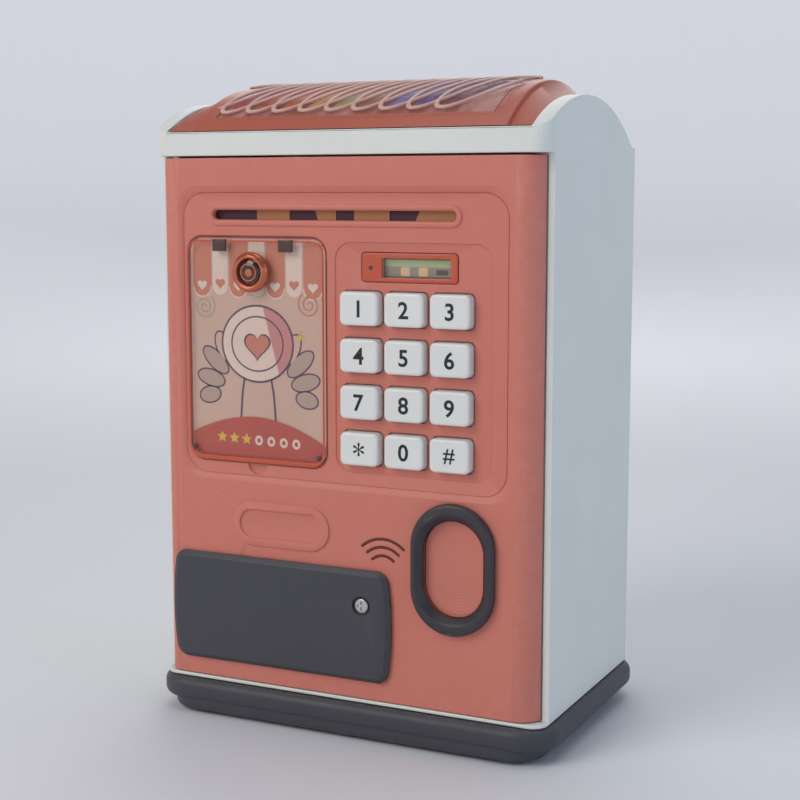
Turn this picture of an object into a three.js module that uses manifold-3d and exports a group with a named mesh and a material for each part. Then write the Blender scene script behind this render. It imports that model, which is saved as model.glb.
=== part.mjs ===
// Toy cash-machine savings bank, in millimetres.
// Frame: +Z up, +X to the right and +Y to the back as seen from the front. The origin is on the
// ground, under the middle of the plinth. The door hangs on the left and opens to the front.
import * as THREE from "three";
import { mergeVertices } from "three/addons/utils/BufferGeometryUtils.js";
import Module from "manifold-3d";

const wasm = await Module();
wasm.setup();

// ---- driving dimensions ----
const GAP = 0.3; // free space between pieces that touch
const PLINTH = { width: 131, depth: 84, top: 11, rimBottom: 4, foot: 0.8, radius: 11, skirtInset: 4 };
const CASE = { halfWidth: 63, wall: 2.3, front: -39.5, back: 39.5, floorTop: 13, sillTop: 12.1, radius: 5 };
const DOOR = { halfWidth: 61, bottom: 12.4, top: 169.4, front: -39.5, rear: -34.5, wall: 2.6, radius: 5.4 };
const PIVOT = { x: -57, y: -35.5, barRadius: 3.6, pinRadius: 1.25, relief: 5.7 };
const BAND = { bottom: 170, top: 177, rear: -33.5 };
const SIDE_ARCH = { y: -6.5, z: 125, radius: 61.7, ledge: 173 }; // curved top of the white side walls
const ROOF_ARCH = { y: 0, z: 133.7, radius: 57.9, spring: 177.4, end: 50, edge: 57.6, wall: 2.2 };
const ARCH_STEPS = 20;

const panelInner = DOOR.front + DOOR.wall; // y of the panel's inner skin
const FACE = { left: -52.9, right: 51.5, bottom: 63.3, top: 146.9, radius: 7, depth: 0.8, slope: 2.2 };
const faceFloor = DOOR.front + FACE.depth;
const SLOT = { x: -3.3, z: 140.5, width: 78.5, height: 2.8, lip: 1.7 };
const PICTURE = { left: -52, right: -4.6, bottom: 66.9, top: 134.4, radius: 5, floor: faceFloor + 1.5 };
const KEYPAD = { left: -1.8, right: 46.8, bottom: 66.9, top: 133, depth: 0.35 };
const KEY = { width: 12.2, height: 9.6, x: 6.9, z: 114.4, pitchX: 14.1, pitchZ: 13.4, front: -41.4, travel: 1.2 };
const LCD = { left: 6.5, right: 36.6, bottom: 121.8, top: 130.4, depth: 1.2 };
const BADGE = { x: -20, z: 49 };
const SIGNAL = { x: 13.7, z: 38.4, radii: [9.9, 7.5, 5], halfAngle: 0.73 }; // arcs beside the finger ring
const FINGER = { x: 36, z: 41.8, ringWidth: 25.6, ringHeight: 38, openWidth: 18, openHeight: 27.4 };
const COVER = { left: -56.2, right: 15.4, bow: 2.4, bottom: 5.6, top: 38.8, front: -41.8 };
const SCREW = { x: 7.7, z: 28.4 };
const CELL = { radius: 7.1, length: 49.5, nub: 1, nubRadius: 2.7, y: -31.2, low: 14.75, high: 29.25 };
const BACK = { left: -52.8, right: 54, bottom: 3, top: 154, front: -34.2, rear: -17.2, wall: 1.8 };
const FEED = { y: -27.5, z: 135.5, radius: 4.4, gap: 9, shaft: 1.5, left: -47.6, right: 40 };
const GEAR = { module: 0.8, wheelTeeth: 18, pinionTeeth: 8, width: 2.8, x: -47.2, backlash: 0.2 };
const LATCH = { y: -25, z: 97, width: 4, height: 6, travel: 4.4 };

const doorZ = (z) => DOOR.bottom + z; // heights on the door are counted from its lower edge

// ---- colours ----
const paint = (color, roughness, metalness = 0, opacity = 1) =>
  new THREE.MeshStandardMaterial({ color, roughness, metalness, opacity, transparent: opacity < 1 });
const CORAL = paint(0xd06a50, 0.5);
const WHITE = paint(0xdfe3ea, 0.45);
const CHARCOAL = paint(0x3d3e45, 0.55);
const KEYCAP = paint(0xf0efe9, 0.35);
const CLEAR = paint(0xffffff, 0.05, 0, 0.3);
const TINTED = paint(0xe08060, 0.1, 0, 0.6);
const PAPER = paint(0xe8cdb8, 0.8);
const COPPER = paint(0xb5563c, 0.25, 0.8);
const DARK_GLASS = paint(0x2a1c1c, 0.05);
const LCD_GREEN = paint(0xa9b98a, 0.3);
const RUBBER = paint(0x7a5230, 0.8);
const FOOT_RUBBER = paint(0x202022, 0.9);
const SILICONE = paint(0xb9bcc0, 0.7);
const BOARD = paint(0x2e6b3f, 0.5);
const BLACK = paint(0x1d1d1f, 0.5);
const STEEL = paint(0xb9bcc0, 0.3, 1);
const NYLON = paint(0xf2f0e6, 0.4);
const CELL_WRAP = paint(0x2c4a6b, 0.35, 0.3);

// ---- shapes ----
function roundedRect(x0, x1, y0, y1, radius, steps = 3) {
  const shape = new THREE.Shape();
  const corners = [[x1, y0, -1], [x1, y1, 0], [x0, y1, 1], [x0, y0, 2]];
  corners.forEach(([x, y, quarter]) => {
    const cx = x === x1 ? x - radius : x + radius;
    const cy = y === y1 ? y - radius : y + radius;
    for (let i = 0; i <= steps; i++) {
      const a = (quarter + i / steps) * (Math.PI / 2);
      const point = [cx + radius * Math.cos(a), cy + radius * Math.sin(a)];
      if (shape.curves.length || shape.started) shape.lineTo(...point);
      else shape.moveTo(...point);
      shape.started = true;
    }
  });
  return shape;
}

const stadium = (x, z, width, height, steps = 7) => {
  const radius = Math.min(width, height) / 2 - 0.01;
  return roundedRect(x - width / 2, x + width / 2, z - height / 2, z + height / 2, radius, steps);
};

const circle = (x, y, radius, count = 16) =>
  new THREE.Shape(
    Array.from({ length: count }, (_, i) => {
      const a = (i / count) * 2 * Math.PI;
      return new THREE.Vector2(x + radius * Math.cos(a), y + radius * Math.sin(a));
    })
  );

// ---- solids ----
function solid(geometry) {
  const bare = geometry.clone();
  bare.deleteAttribute("normal");
  bare.deleteAttribute("uv");
  const merged = mergeVertices(bare, 1e-4);
  return new wasm.Manifold(
    new wasm.Mesh({
      numProp: 3,
      vertProperties: new Float32Array(merged.attributes.position.array),
      triVerts: new Uint32Array(merged.index.array),
    })
  );
}

const flat = (depth) => ({ depth, bevelEnabled: false, curveSegments: 12 });

// A plan outline (x, y) raised from z0 to z1.
const upright = (shape, z0, z1) => solid(new THREE.ExtrudeGeometry(shape, flat(z1 - z0)).translate(0, 0, z0));

// A front outline (x, z) running back from y0 to y1.
const facing = (shape, y0, y1) =>
  solid(new THREE.ExtrudeGeometry(shape, flat(y1 - y0)).rotateX(Math.PI / 2).translate(0, y1, 0));

// A side outline (y, z) running across from x0 to x1.
const across = (shape, x0, x1) => {
  const turn = new THREE.Matrix4().set(0, 0, 1, x0, 1, 0, 0, 0, 0, 1, 0, 0, 0, 0, 0, 1);
  return solid(new THREE.ExtrudeGeometry(shape, flat(x1 - x0)).applyMatrix4(turn));
};

const box = (x0, x1, y0, y1, z0, z1) =>
  solid(new THREE.BoxGeometry(x1 - x0, y1 - y0, z1 - z0).translate((x0 + x1) / 2, (y0 + y1) / 2, (z0 + z1) / 2));

const post = (x, y, radius, z0, z1, count = 16) => upright(circle(x, y, radius, count), z0, z1);
const rod = (y, z, radius, x0, x1, count = 16) => across(circle(y, z, radius, count), x0, x1);
const peg = (x, z, radius, y0, y1, count = 16) => facing(circle(x, z, radius, count), y0, y1);

// A front outline whose front rim slopes out by `slope` over `rise`, from y = y0 at its small end.
function sloped(shape, yFloor, rise, slope, length) {
  const options = { depth: length, bevelThickness: rise, bevelSize: slope, bevelSegments: 1, curveSegments: 12 };
  return solid(new THREE.ExtrudeGeometry(shape, options).rotateX(Math.PI / 2).translate(0, yFloor - rise, 0));
}

const join = (...parts) => parts.reduce((sum, part) => sum.add(part));
const cut = (body, ...tools) => tools.reduce((rest, tool) => rest.subtract(tool), body);

// ---- the scene ----
const bank = new THREE.Group();

function place(name, body, material, group = bank) {
  const made = body.getMesh();
  const geometry = new THREE.BufferGeometry()
    .setAttribute("position", new THREE.BufferAttribute(new Float32Array(made.vertProperties), 3))
    .setIndex(new THREE.BufferAttribute(new Uint32Array(made.triVerts), 1));
  geometry.computeVertexNormals();
  const mesh = new THREE.Mesh(geometry, material);
  mesh.name = name;
  group.add(mesh);
  return mesh;
}

// ---- plinth and feet ----
const footPlaces = [-1, 1].flatMap((sx) => [-1, 1].map((sy) => ({ sx, sy, x: sx * 51, y: sy * 29 })));
const footName = ({ sx, sy }) => `foot_${sy < 0 ? "front" : "rear"}_${sx < 0 ? "left" : "right"}`;

function plinth() {
  const halfW = PLINTH.width / 2;
  const halfD = PLINTH.depth / 2;
  const inset = PLINTH.skirtInset;
  const rim = upright(
    roundedRect(-halfW, halfW, -halfD, halfD, PLINTH.radius, 5),
    PLINTH.rimBottom,
    PLINTH.top - 1
  );
  const crown = upright(
    roundedRect(-halfW + 1, halfW - 1, -halfD + 1, halfD - 1, PLINTH.radius - 1, 5),
    PLINTH.top - 1.01,
    PLINTH.top - GAP
  );
  const skirt = upright(
    roundedRect(-halfW + inset, halfW - inset, -halfD + 0.6, halfD - inset, PLINTH.radius - 1, 5),
    PLINTH.foot,
    PLINTH.rimBottom + 0.5
  );
  const hollow = upright(
    roundedRect(-halfW + inset + 2.4, halfW - inset - 2.4, -halfD + 3.2, halfD - inset - 2.4, 8),
    0,
    PLINTH.top - 2.6
  );
  const bosses = footPlaces.map(({ x, y }) => post(x, y, 8, PLINTH.foot, PLINTH.top - 2, 20));
  const pockets = footPlaces.map(({ x, y }) => post(x, y, 6.5 + GAP, 0, 2.2, 20));
  const pinHole = post(PIVOT.x, PIVOT.y, PIVOT.pinRadius + GAP, 6.5, 12);
  const pinBoss = post(PIVOT.x, PIVOT.y, 3.2, 5.2, PLINTH.top - 2);
  return cut(join(cut(join(rim, crown, skirt), hollow), ...bosses, pinBoss), ...pockets, pinHole);
}

place("base_plinth", plinth(), CHARCOAL);
footPlaces.forEach((foot) => place(footName(foot), post(foot.x, foot.y, 6.5, 0, 1.9, 20), FOOT_RUBBER));

// ---- case: side walls, back, floor, front band and sill in one moulding ----
// Side outline of everything under an arch, from the ground line up.
function underArch(arch, y0, y1, z0, grow = 0) {
  const shape = new THREE.Shape([new THREE.Vector2(y1, z0)]);
  const radius = arch.radius + grow;
  const points = [];
  for (let i = 0; i <= ARCH_STEPS; i++) {
    const y = y1 + ((y0 - y1) * i) / ARCH_STEPS;
    const rise = Math.sqrt(Math.max(radius * radius - (y - arch.y) ** 2, 0));
    points.push(new THREE.Vector2(y, Math.max(arch.z + rise, (arch.ledge ?? 0) + grow)));
  }
  return new THREE.Shape([new THREE.Vector2(y1, z0), ...points, new THREE.Vector2(y0, z0)]);
}

function caseShell() {
  const { halfWidth: w, wall, front, back, floorTop, sillTop, radius } = CASE;
  const plan = upright(roundedRect(-w, w, front, back, radius, 4), PLINTH.top, 200);
  const outer = across(underArch(SIDE_ARCH, front - 1, back + 1, PLINTH.top), -w - 1, w + 1).intersect(plan);
  const inside = across(underArch(SIDE_ARCH, BAND.rear, back - wall, floorTop, -3), -w + wall, w - wall);
  const roofWell = box(-ROOF_ARCH.edge - GAP, ROOF_ARCH.edge + GAP, BAND.rear, back - wall, 150, 210);
  const overBand = box(-ROOF_ARCH.edge - GAP, ROOF_ARCH.edge + GAP, -60, BAND.rear + 1, BAND.top, 210);
  const doorway = box(-w - 1, w + 1, front - 1, -34.1, sillTop, BAND.bottom);
  const mouth = box(-w + wall, w - wall, -34.2, BAND.rear + 0.1, sillTop, BAND.bottom);
  const relief = post(PIVOT.x, PIVOT.y, PIVOT.relief, sillTop, BAND.bottom, 24);
  const topSocket = post(PIVOT.x, PIVOT.y, PIVOT.pinRadius + GAP, BAND.bottom - 1, BAND.bottom + 4);
  const lowSocket = post(PIVOT.x, PIVOT.y, PIVOT.pinRadius + GAP, PLINTH.top - 1, floorTop + 1);
  return cut(outer, inside, roofWell, overBand, doorway, mouth, relief, topSocket, lowSocket);
}
place("case_shell", caseShell(), WHITE);

function strikePlate() {
  const block = box(56, CASE.halfWidth - CASE.wall - GAP, LATCH.y - 6, LATCH.y + 6, doorZ(LATCH.z) - 8, doorZ(LATCH.z) + 8);
  const keeper = box(55, 62, LATCH.y - 2.6, LATCH.y + 2.6, doorZ(LATCH.z) - 3.8, doorZ(LATCH.z) + 3.8);
  return cut(block, keeper);
}
place("latch_strike", strikePlate(), STEEL);

// ---- roof ----
// A solid drawn through side outlines (y, z) of equal point count, each at its own x, from -X to +X.
function loft(sections) {
  const count = sections[0].points.length;
  const positions = sections.flatMap(({ x, points }) => points.toReversed().flatMap(([y, z]) => [x, y, z]));
  const faces = [];
  for (let s = 0; s + 1 < sections.length; s++)
    for (let i = 0; i < count; i++) {
      const a = s * count + i;
      const b = s * count + ((i + 1) % count);
      faces.push(a, b, b + count, a, b + count, a + count);
    }
  const end = sections[0].points.toReversed().map((point) => new THREE.Vector2(...point));
  const last = (sections.length - 1) * count;
  THREE.ShapeUtils.triangulateShape(end, []).forEach(([a, b, c]) => {
    faces.push(c, b, a, last + a, last + b, last + c);
  });
  const geometry = new THREE.BufferGeometry()
    .setAttribute("position", new THREE.BufferAttribute(new Float32Array(positions), 3))
    .setIndex(faces);
  return solid(geometry);
}

// Outline of the roof's crust at one end: along the arch, then square across its foot.
function roofOutline(radius, y0, y1, foot) {
  const points = [];
  for (let i = 0; i <= ARCH_STEPS; i++) {
    const y = y0 + ((y1 - y0) * i) / ARCH_STEPS;
    points.push([y, ROOF_ARCH.z + Math.sqrt(radius * radius - (y - ROOF_ARCH.y) ** 2)]);
  }
  return [...points, [y1, foot], [y0, foot]];
}

// Outline of the roof's low end edge, which runs just inside the rim of the white side wall.
function roofEndOutline(y0, y1, foot) {
  const points = [];
  for (let i = 0; i <= ARCH_STEPS; i++) {
    const y = y0 + ((y1 - y0) * i) / ARCH_STEPS;
    const rim = SIDE_ARCH.z + Math.sqrt(SIDE_ARCH.radius ** 2 - (y - SIDE_ARCH.y) ** 2);
    points.push([y, Math.max(rim, SIDE_ARCH.ledge) - 2 * GAP]);
  }
  return [...points, [y1, foot], [y0, foot]];
}

const roofHalfDepth = Math.sqrt(ROOF_ARCH.radius ** 2 - (ROOF_ARCH.spring - ROOF_ARCH.z) ** 2);
const LENS = { halfWidth: 46.3, front: -34.4, back: 33.4, proud: 0.7, wall: 1.6 };

function roofShell() {
  const y0 = -roofHalfDepth;
  const y1 = CASE.back - CASE.wall - GAP;
  const foot = ROOF_ARCH.spring - 0.2;
  const wellAt = (x, drop, inset) => ({
    x,
    points: roofOutline(ROOF_ARCH.radius - drop, y0 + inset, y1 - inset * 0.6, foot - 9),
  });
  const bothEnds = (halves) => [...halves.map(({ x, points }) => ({ x: -x, points })), ...halves.toReversed()];
  const crust = loft(
    bothEnds([
      { x: ROOF_ARCH.edge, points: roofEndOutline(y0, y1, foot - 5.5) },
      { x: ROOF_ARCH.end, points: roofOutline(ROOF_ARCH.radius, y0, y1, foot - 5.5) },
    ])
  );
  const well = loft(bothEnds([wellAt(55.4, 8.2, 6), wellAt(49.6, 7.8, 6), wellAt(48.2, ROOF_ARCH.wall, 4.5)]));
  const window = box(-LENS.halfWidth + 1.5, LENS.halfWidth - 1.5, LENS.front + 1.5, LENS.back - 1.5, 160, 200);
  const overBand = box(-70, 70, -60, BAND.rear + GAP, 150, BAND.top + GAP);
  return cut(crust, well, window, overBand);
}
place("roof_shell", roofShell(), CORAL);

function roofLens() {
  const strip = (radius, grow) =>
    roofOutline(radius, LENS.front - grow, LENS.back + grow, ROOF_ARCH.spring - 3 - grow);
  const outer = loft([-1, 1].map((s) => ({ x: s * LENS.halfWidth, points: strip(ROOF_ARCH.radius + LENS.proud + GAP, 0) })));
  const hollow = loft([-1, 1].map((s) => ({ x: s * (LENS.halfWidth + 1), points: strip(ROOF_ARCH.radius + GAP, 1) })));
  const plug = loft([-1, 1].map((s) => ({ x: s * (LENS.halfWidth - 1.5 - GAP), points: strip(ROOF_ARCH.radius + 0.5, -1.8) })));
  const plugHollow = loft([-1, 1].map((s) => ({ x: s * 60, points: strip(ROOF_ARCH.radius - LENS.wall, 1) })));
  return join(cut(outer, hollow), cut(plug, plugHollow));
}
place("roof_lens", roofLens(), TINTED);

// Strip board under the roof lens, with a row of lamps moulded onto it.
function lightBoard() {
  const board = box(-54, 54, -12, 12, 172, 173.4);
  const stands = [-52.5, 52.5].map((x) => post(x, 0, 1.8, 173, 182.9, 12));
  const lamps = [-36, -18, 0, 18, 36].map((x) => post(x, 0, 2.5, 173, 178.5, 12));
  return join(board, ...stands, ...lamps);
}
place("light_board", lightBoard(), BOARD);

// ---- door ----
function doorPanel() {
  const { halfWidth: w, front, rear, radius } = DOOR;
  const [low, high] = [DOOR.bottom, DOOR.top];
  const slab = upright(roundedRect(-w, w, front, front + 20, radius, 5), low, high);
  const plate = cut(slab, box(-70, 70, rear, 0, 0, 200));
  const bar = post(PIVOT.x, PIVOT.y, PIVOT.barRadius, low, high, 24);
  const hollow = box(-53, w - 2.4, panelInner, 0, low + 2.2, high - 2.2);
  let body = join(cut(plate, hollow), bar);
  const pictureBack = box(-53.2, -3, panelInner - 0.2, -35.6, doorZ(PICTURE.bottom - 2), doorZ(PICTURE.top + 2));
  const bossAt = peg(SCREW.x, doorZ(SCREW.z), 2.2, panelInner - 0.2, -29);
  const badge = cut(
    facing(stadium(BADGE.x, doorZ(BADGE.z), 32.6, 13.2), front - 0.6, front + 0.5),
    facing(stadium(BADGE.x, doorZ(BADGE.z), 27.2, 7.8), front - 2, front + 2)
  );
  body = join(body, pictureBack, bossAt, badge);
  const face = roundedRect(FACE.left, FACE.right, doorZ(FACE.bottom), doorZ(FACE.top), FACE.radius, 4);
  const keypad = roundedRect(KEYPAD.left, KEYPAD.right, doorZ(KEYPAD.bottom), doorZ(KEYPAD.top), 5);
  const picture = roundedRect(PICTURE.left, PICTURE.right, doorZ(PICTURE.bottom), doorZ(PICTURE.top), PICTURE.radius);
  const slot = stadium(SLOT.x, doorZ(SLOT.z), SLOT.width, SLOT.height, 3);
  const lipOutline = stadium(SLOT.x, doorZ(SLOT.z), SLOT.width + 2 * SLOT.lip, SLOT.height + 2 * SLOT.lip, 5);
  const lip = facing(lipOutline, faceFloor - 0.5, panelInner);
  body = join(cut(body, sloped(face, faceFloor, FACE.depth, FACE.slope, 5)), lip);
  const tools = [
    facing(keypad, front - 2, faceFloor + KEYPAD.depth),
    facing(picture, front - 2, PICTURE.floor),
    sloped(slot, faceFloor + 0.6, 1.1, 1.1, 5),
    facing(slot, front - 2, 0),
    facing(circle(-28.3, doorZ(PICTURE.bottom), 3.2, 14), front - 2, faceFloor + 0.9),
    facing(roundedRect(LCD.left, LCD.right, doorZ(LCD.bottom), doorZ(LCD.top), 1.2), front - 2, faceFloor + LCD.depth),
    box(13, 34.2, front - 2, 0, doorZ(123.2), doorZ(128.6)),
    facing(stadium(FINGER.x, doorZ(FINGER.z), 19.6, 29), front - 2, 0),
    facing(roundedRect(-51.8, 3.9, doorZ(7.4), doorZ(36.6), 2), front - 2, panelInner + 0.5),
    peg(SCREW.x, doorZ(SCREW.z), 1.3, front - 2, -31),
    post(PIVOT.x, PIVOT.y, PIVOT.pinRadius + GAP, low - 1, low + 12),
    post(PIVOT.x, PIVOT.y, PIVOT.pinRadius + GAP, high - 12, high + 1),
    ...keyPlaces.map(({ x, z }) => facing(roundedRect(x - 6.45, x + 6.45, z - 5.15, z + 5.15, 1.4, 1), front - 2, 0)),
    ...SIGNAL.radii.map((r) => signalArc(r)),
  ];
  return cut(body, ...tools);
}

// One of the three stacked arcs beside the finger ring, as the tool that cuts its groove.
function signalArc(radius) {
  const { x, halfAngle } = SIGNAL;
  const z = doorZ(SIGNAL.z);
  const points = [];
  for (const r of [radius + 0.4, radius - 0.4])
    for (let i = 0; i <= 6; i++) {
      const a = Math.PI / 2 + (r > radius ? 1 : -1) * halfAngle * (1 - i / 3);
      points.push(new THREE.Vector2(x + r * Math.cos(a), z + r * Math.sin(a)));
    }
  return facing(new THREE.Shape(points), DOOR.front - 1, DOOR.front + 0.5);
}

const keyNames = ["1", "2", "3", "4", "5", "6", "7", "8", "9", "star", "0", "hash"];
const keyPlaces = keyNames.map((name, i) => ({
  name,
  x: KEY.x + (i % 3) * KEY.pitchX,
  z: doorZ(KEY.z - Math.floor(i / 3) * KEY.pitchZ),
}));
place("door_front_panel", doorPanel(), CORAL);

function doorBackCover() {
  const { left, right, front, rear, wall } = BACK;
  const [low, high] = [doorZ(BACK.bottom), doorZ(BACK.top)];
  const shell = cut(
    facing(roundedRect(left, right, low, high, 3, 2), front, rear),
    facing(roundedRect(left + wall, right - wall, low + wall, high - wall, 2, 2), front - 1, rear - wall)
  );
  const exitSlot = box(-43, 37, rear - 5, rear + 2, doorZ(SLOT.z) - 3.2, doorZ(SLOT.z) + 3.2);
  const boltHole = box(right - 4, right + 2, LATCH.y - 2.4, LATCH.y + 2.4, doorZ(LATCH.z) - 3.4, doorZ(LATCH.z) + 3.4);
  const grille = [-1, 0, 1].flatMap((i) =>
    [-1, 0, 1].map((j) => peg(-28 + 7 * i, doorZ(97) + 7 * j, 1.6, rear - 3, rear + 1, 8))
  );
  return cut(shell, exitSlot, boltHole, ...grille);
}
place("door_back_cover", doorBackCover(), CORAL);

[["lower", PLINTH.top - 3.5, DOOR.bottom + 10], ["upper", DOOR.top - 10, BAND.bottom + 3.5]].forEach(([side, z0, z1]) =>
  place(`hinge_pin_${side}`, post(PIVOT.x, PIVOT.y, PIVOT.pinRadius, z0, z1), STEEL)
);

// ---- picture, its clear cover and the round viewing eye on it ----
const coverThickness = 1.2;
const inPicture = (inset, y0, y1) =>
  facing(
    roundedRect(
      PICTURE.left + inset,
      PICTURE.right - inset,
      doorZ(PICTURE.bottom) + inset,
      doorZ(PICTURE.top) - inset,
      PICTURE.radius - inset
    ),
    y0,
    y1
  );
const cardFront = PICTURE.floor - GAP - 0.4;
place("picture_card", inPicture(0.8, cardFront, PICTURE.floor - GAP), PAPER);
const windowRear = cardFront - GAP;
const windowFront = windowRear - coverThickness;
place("picture_window", inPicture(0.45, windowFront, windowRear), CLEAR);

const windowTop = doorZ(PICTURE.top) - 0.45;
const WINDOW_PIVOT = { y: (windowRear + windowFront) / 2, z: windowTop - 0.6 };
[["left", -39.8], ["right", -17.4]].forEach(([side, x]) =>
  place(
    `window_lug_${side}`,
    box(x - 2.3, x + 2.3, windowFront - GAP - 0.7, windowFront - GAP, WINDOW_PIVOT.z - 3.5, WINDOW_PIVOT.z),
    CHARCOAL
  )
);

const EYE = { x: -29, z: doorZ(123.9), radius: 5.9 };
function eyeBezel() {
  const rear = windowFront - GAP;
  const ring = join(
    peg(EYE.x, EYE.z, EYE.radius, rear - 1.2, rear, 28),
    peg(EYE.x, EYE.z, EYE.radius - 0.8, rear - 2, rear - 1, 28)
  );
  return cut(ring, peg(EYE.x, EYE.z, 3.7, rear - 4, rear - 0.6, 24));
}
place("eye_bezel", eyeBezel(), COPPER);
place("eye_lens", peg(EYE.x, EYE.z, 3.4, windowFront - GAP - 1.7, windowFront - GAP - 0.9, 20), DARK_GLASS);

// ---- keypad ----
function keycap({ x, z }) {
  const outline = roundedRect(x - KEY.width / 2, x + KEY.width / 2, z - KEY.height / 2, z + KEY.height / 2, 1.6, 2);
  const brow = facing(
    roundedRect(x - KEY.width / 2 + 0.6, x + KEY.width / 2 - 0.6, z - KEY.height / 2 + 0.6, z + KEY.height / 2 - 0.6, 1.2, 2),
    KEY.front,
    KEY.front + 1
  );
  const flange = box(x - 6.6, x + 6.6, panelInner + GAP, panelInner + 1.3, z - 5.6, z + 5.6);
  return join(brow, facing(outline, KEY.front + 0.6, panelInner + 1), flange);
}
keyPlaces.forEach((key) => place(`key_${key.name}`, keycap(key), KEYCAP));

place("keypad_membrane", box(-0.6, 46, -34.3, -33.2, doorZ(66), doorZ(120.4)), SILICONE);
place("main_board", box(-0.6, 50, -32.9, -31.7, doorZ(64), doorZ(131)), BOARD);
place("lcd_module", box(9.5, 38, -36.5, -33.3, doorZ(121.4), doorZ(130.4)), LCD_GREEN);
place(
  "lcd_window",
  facing(
    roundedRect(LCD.left + GAP, LCD.right - GAP, doorZ(LCD.bottom) + GAP, doorZ(LCD.top) - GAP, 0.9),
    faceFloor + 0.1,
    faceFloor + LCD.depth - GAP
  ),
  CLEAR
);

// ---- finger ring and pad ----
function fingerRing() {
  const base = DOOR.front - GAP;
  const [x, z] = [FINGER.x, doorZ(FINGER.z)];
  const foot = facing(stadium(x, z, FINGER.ringWidth, FINGER.ringHeight, 9), base - 1.2, base);
  const crest = facing(stadium(x, z, FINGER.ringWidth - 1.8, FINGER.ringHeight - 1.8, 9), base - 2.1, base - 1);
  const dish = sloped(stadium(x, z, FINGER.openWidth, FINGER.openHeight, 9), base + 0.1, 1.9, 1.7, 4);
  const bore = facing(stadium(x, z, FINGER.openWidth, FINGER.openHeight, 9), base - 5, base + 5);
  return cut(join(foot, crest), dish, bore);
}
place("finger_ring", fingerRing(), CHARCOAL);

function fingerPad() {
  const [x, z] = [FINGER.x, doorZ(FINGER.z)];
  const face = facing(stadium(x, z, 18.8, 28.2), -38.3, panelInner + 0.5);
  const flange = facing(stadium(x, z, 21.6, 31), panelInner + GAP, panelInner + 1.3);
  return join(face, flange);
}
place("finger_pad", fingerPad(), CORAL);
place("finger_switch_board", box(24, 48, -33.4, -32.2, doorZ(24), doorZ(60)), BOARD);

// ---- battery bay ----
function batteryCover() {
  const { left, right, bow, bottom, top, front } = COVER;
  const outline = (inset) => {
    const radius = 3;
    const shape = new THREE.Shape();
    const [l, r] = [left + inset, right - inset];
    const [b, t] = [doorZ(bottom) + inset, doorZ(top) - inset];
    shape.moveTo(l + radius, b);
    shape.lineTo(r - radius, b);
    shape.quadraticCurveTo(r, b, r + 0.5, b + radius);
    shape.quadraticCurveTo(r + 2 * bow - 0.5, (b + t) / 2, r + 0.5, t - radius);
    shape.quadraticCurveTo(r, t, r - radius, t);
    shape.lineTo(l + radius, t);
    shape.quadraticCurveTo(l, t, l - 0.5, t - radius);
    shape.quadraticCurveTo(l - 2 * bow + 0.5, (b + t) / 2, l - 0.5, b + radius);
    shape.quadraticCurveTo(l, b, l + radius, b);
    return new THREE.Shape(shape.getPoints(5));
  };
  const rear = DOOR.front - GAP;
  const lid = join(facing(outline(0), front + 1, rear), facing(outline(1.1), front, front + 1.2));
  const sink = peg(SCREW.x, doorZ(SCREW.z), 2.6, front - 1, front + 1.2, 18);
  const hole = peg(SCREW.x, doorZ(SCREW.z), 1.3, front - 1, rear + 1);
  return cut(lid, sink, hole);
}
place("battery_cover", batteryCover(), CHARCOAL);

function batteryScrew() {
  const head = COVER.front + 0.15;
  const body = join(
    peg(SCREW.x, doorZ(SCREW.z), 2.1, head, head + 0.85, 16),
    peg(SCREW.x, doorZ(SCREW.z), 0.95, head + 0.8, -33, 10)
  );
  const cross = [
    [1.3, 0.3],
    [0.3, 1.3],
  ].map(([w, h]) => box(SCREW.x - w, SCREW.x + w, head - 1, head + 0.45, doorZ(SCREW.z) - h, doorZ(SCREW.z) + h));
  return cut(body, ...cross);
}
place("battery_screw", batteryScrew(), STEEL);

const TRAY = { left: -50.6, right: 5, bottom: 6.2, top: 37.8, front: panelInner + 0.8, rear: -22.4, wall: 0.9 };
place(
  "battery_tray",
  cut(
    box(TRAY.left, TRAY.right, TRAY.front, TRAY.rear, doorZ(TRAY.bottom), doorZ(TRAY.top)),
    box(
      TRAY.left + TRAY.wall,
      TRAY.right - TRAY.wall,
      TRAY.front - 1,
      TRAY.rear - TRAY.wall,
      doorZ(TRAY.bottom) + TRAY.wall,
      doorZ(TRAY.top) - TRAY.wall
    )
  ),
  BLACK
);

// A cell lies along X; `nubSide` is -1 where its nub points left.
function cell(z, x0, nubSide) {
  const x1 = x0 + CELL.length;
  const body = rod(CELL.y, doorZ(z), CELL.radius, x0, x1, 24);
  const nubEnd = nubSide < 0 ? [x0 - CELL.nub, x0 + 0.5] : [x1 - 0.5, x1 + CELL.nub];
  return join(body, rod(CELL.y, doorZ(z), CELL.nubRadius, ...nubEnd, 14));
}
const upperCellLeft = TRAY.left + TRAY.wall + 2.2;
const lowerCellLeft = upperCellLeft + 0.8;
place("battery_cell_upper", cell(CELL.high, upperCellLeft, -1), CELL_WRAP);
place("battery_cell_lower", cell(CELL.low, lowerCellLeft, 1), CELL_WRAP);
place(
  "battery_link_plate",
  box(TRAY.left + TRAY.wall + 0.15, TRAY.left + TRAY.wall + 0.55, -35, -27, doorZ(10), doorZ(34)),
  STEEL
);

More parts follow.
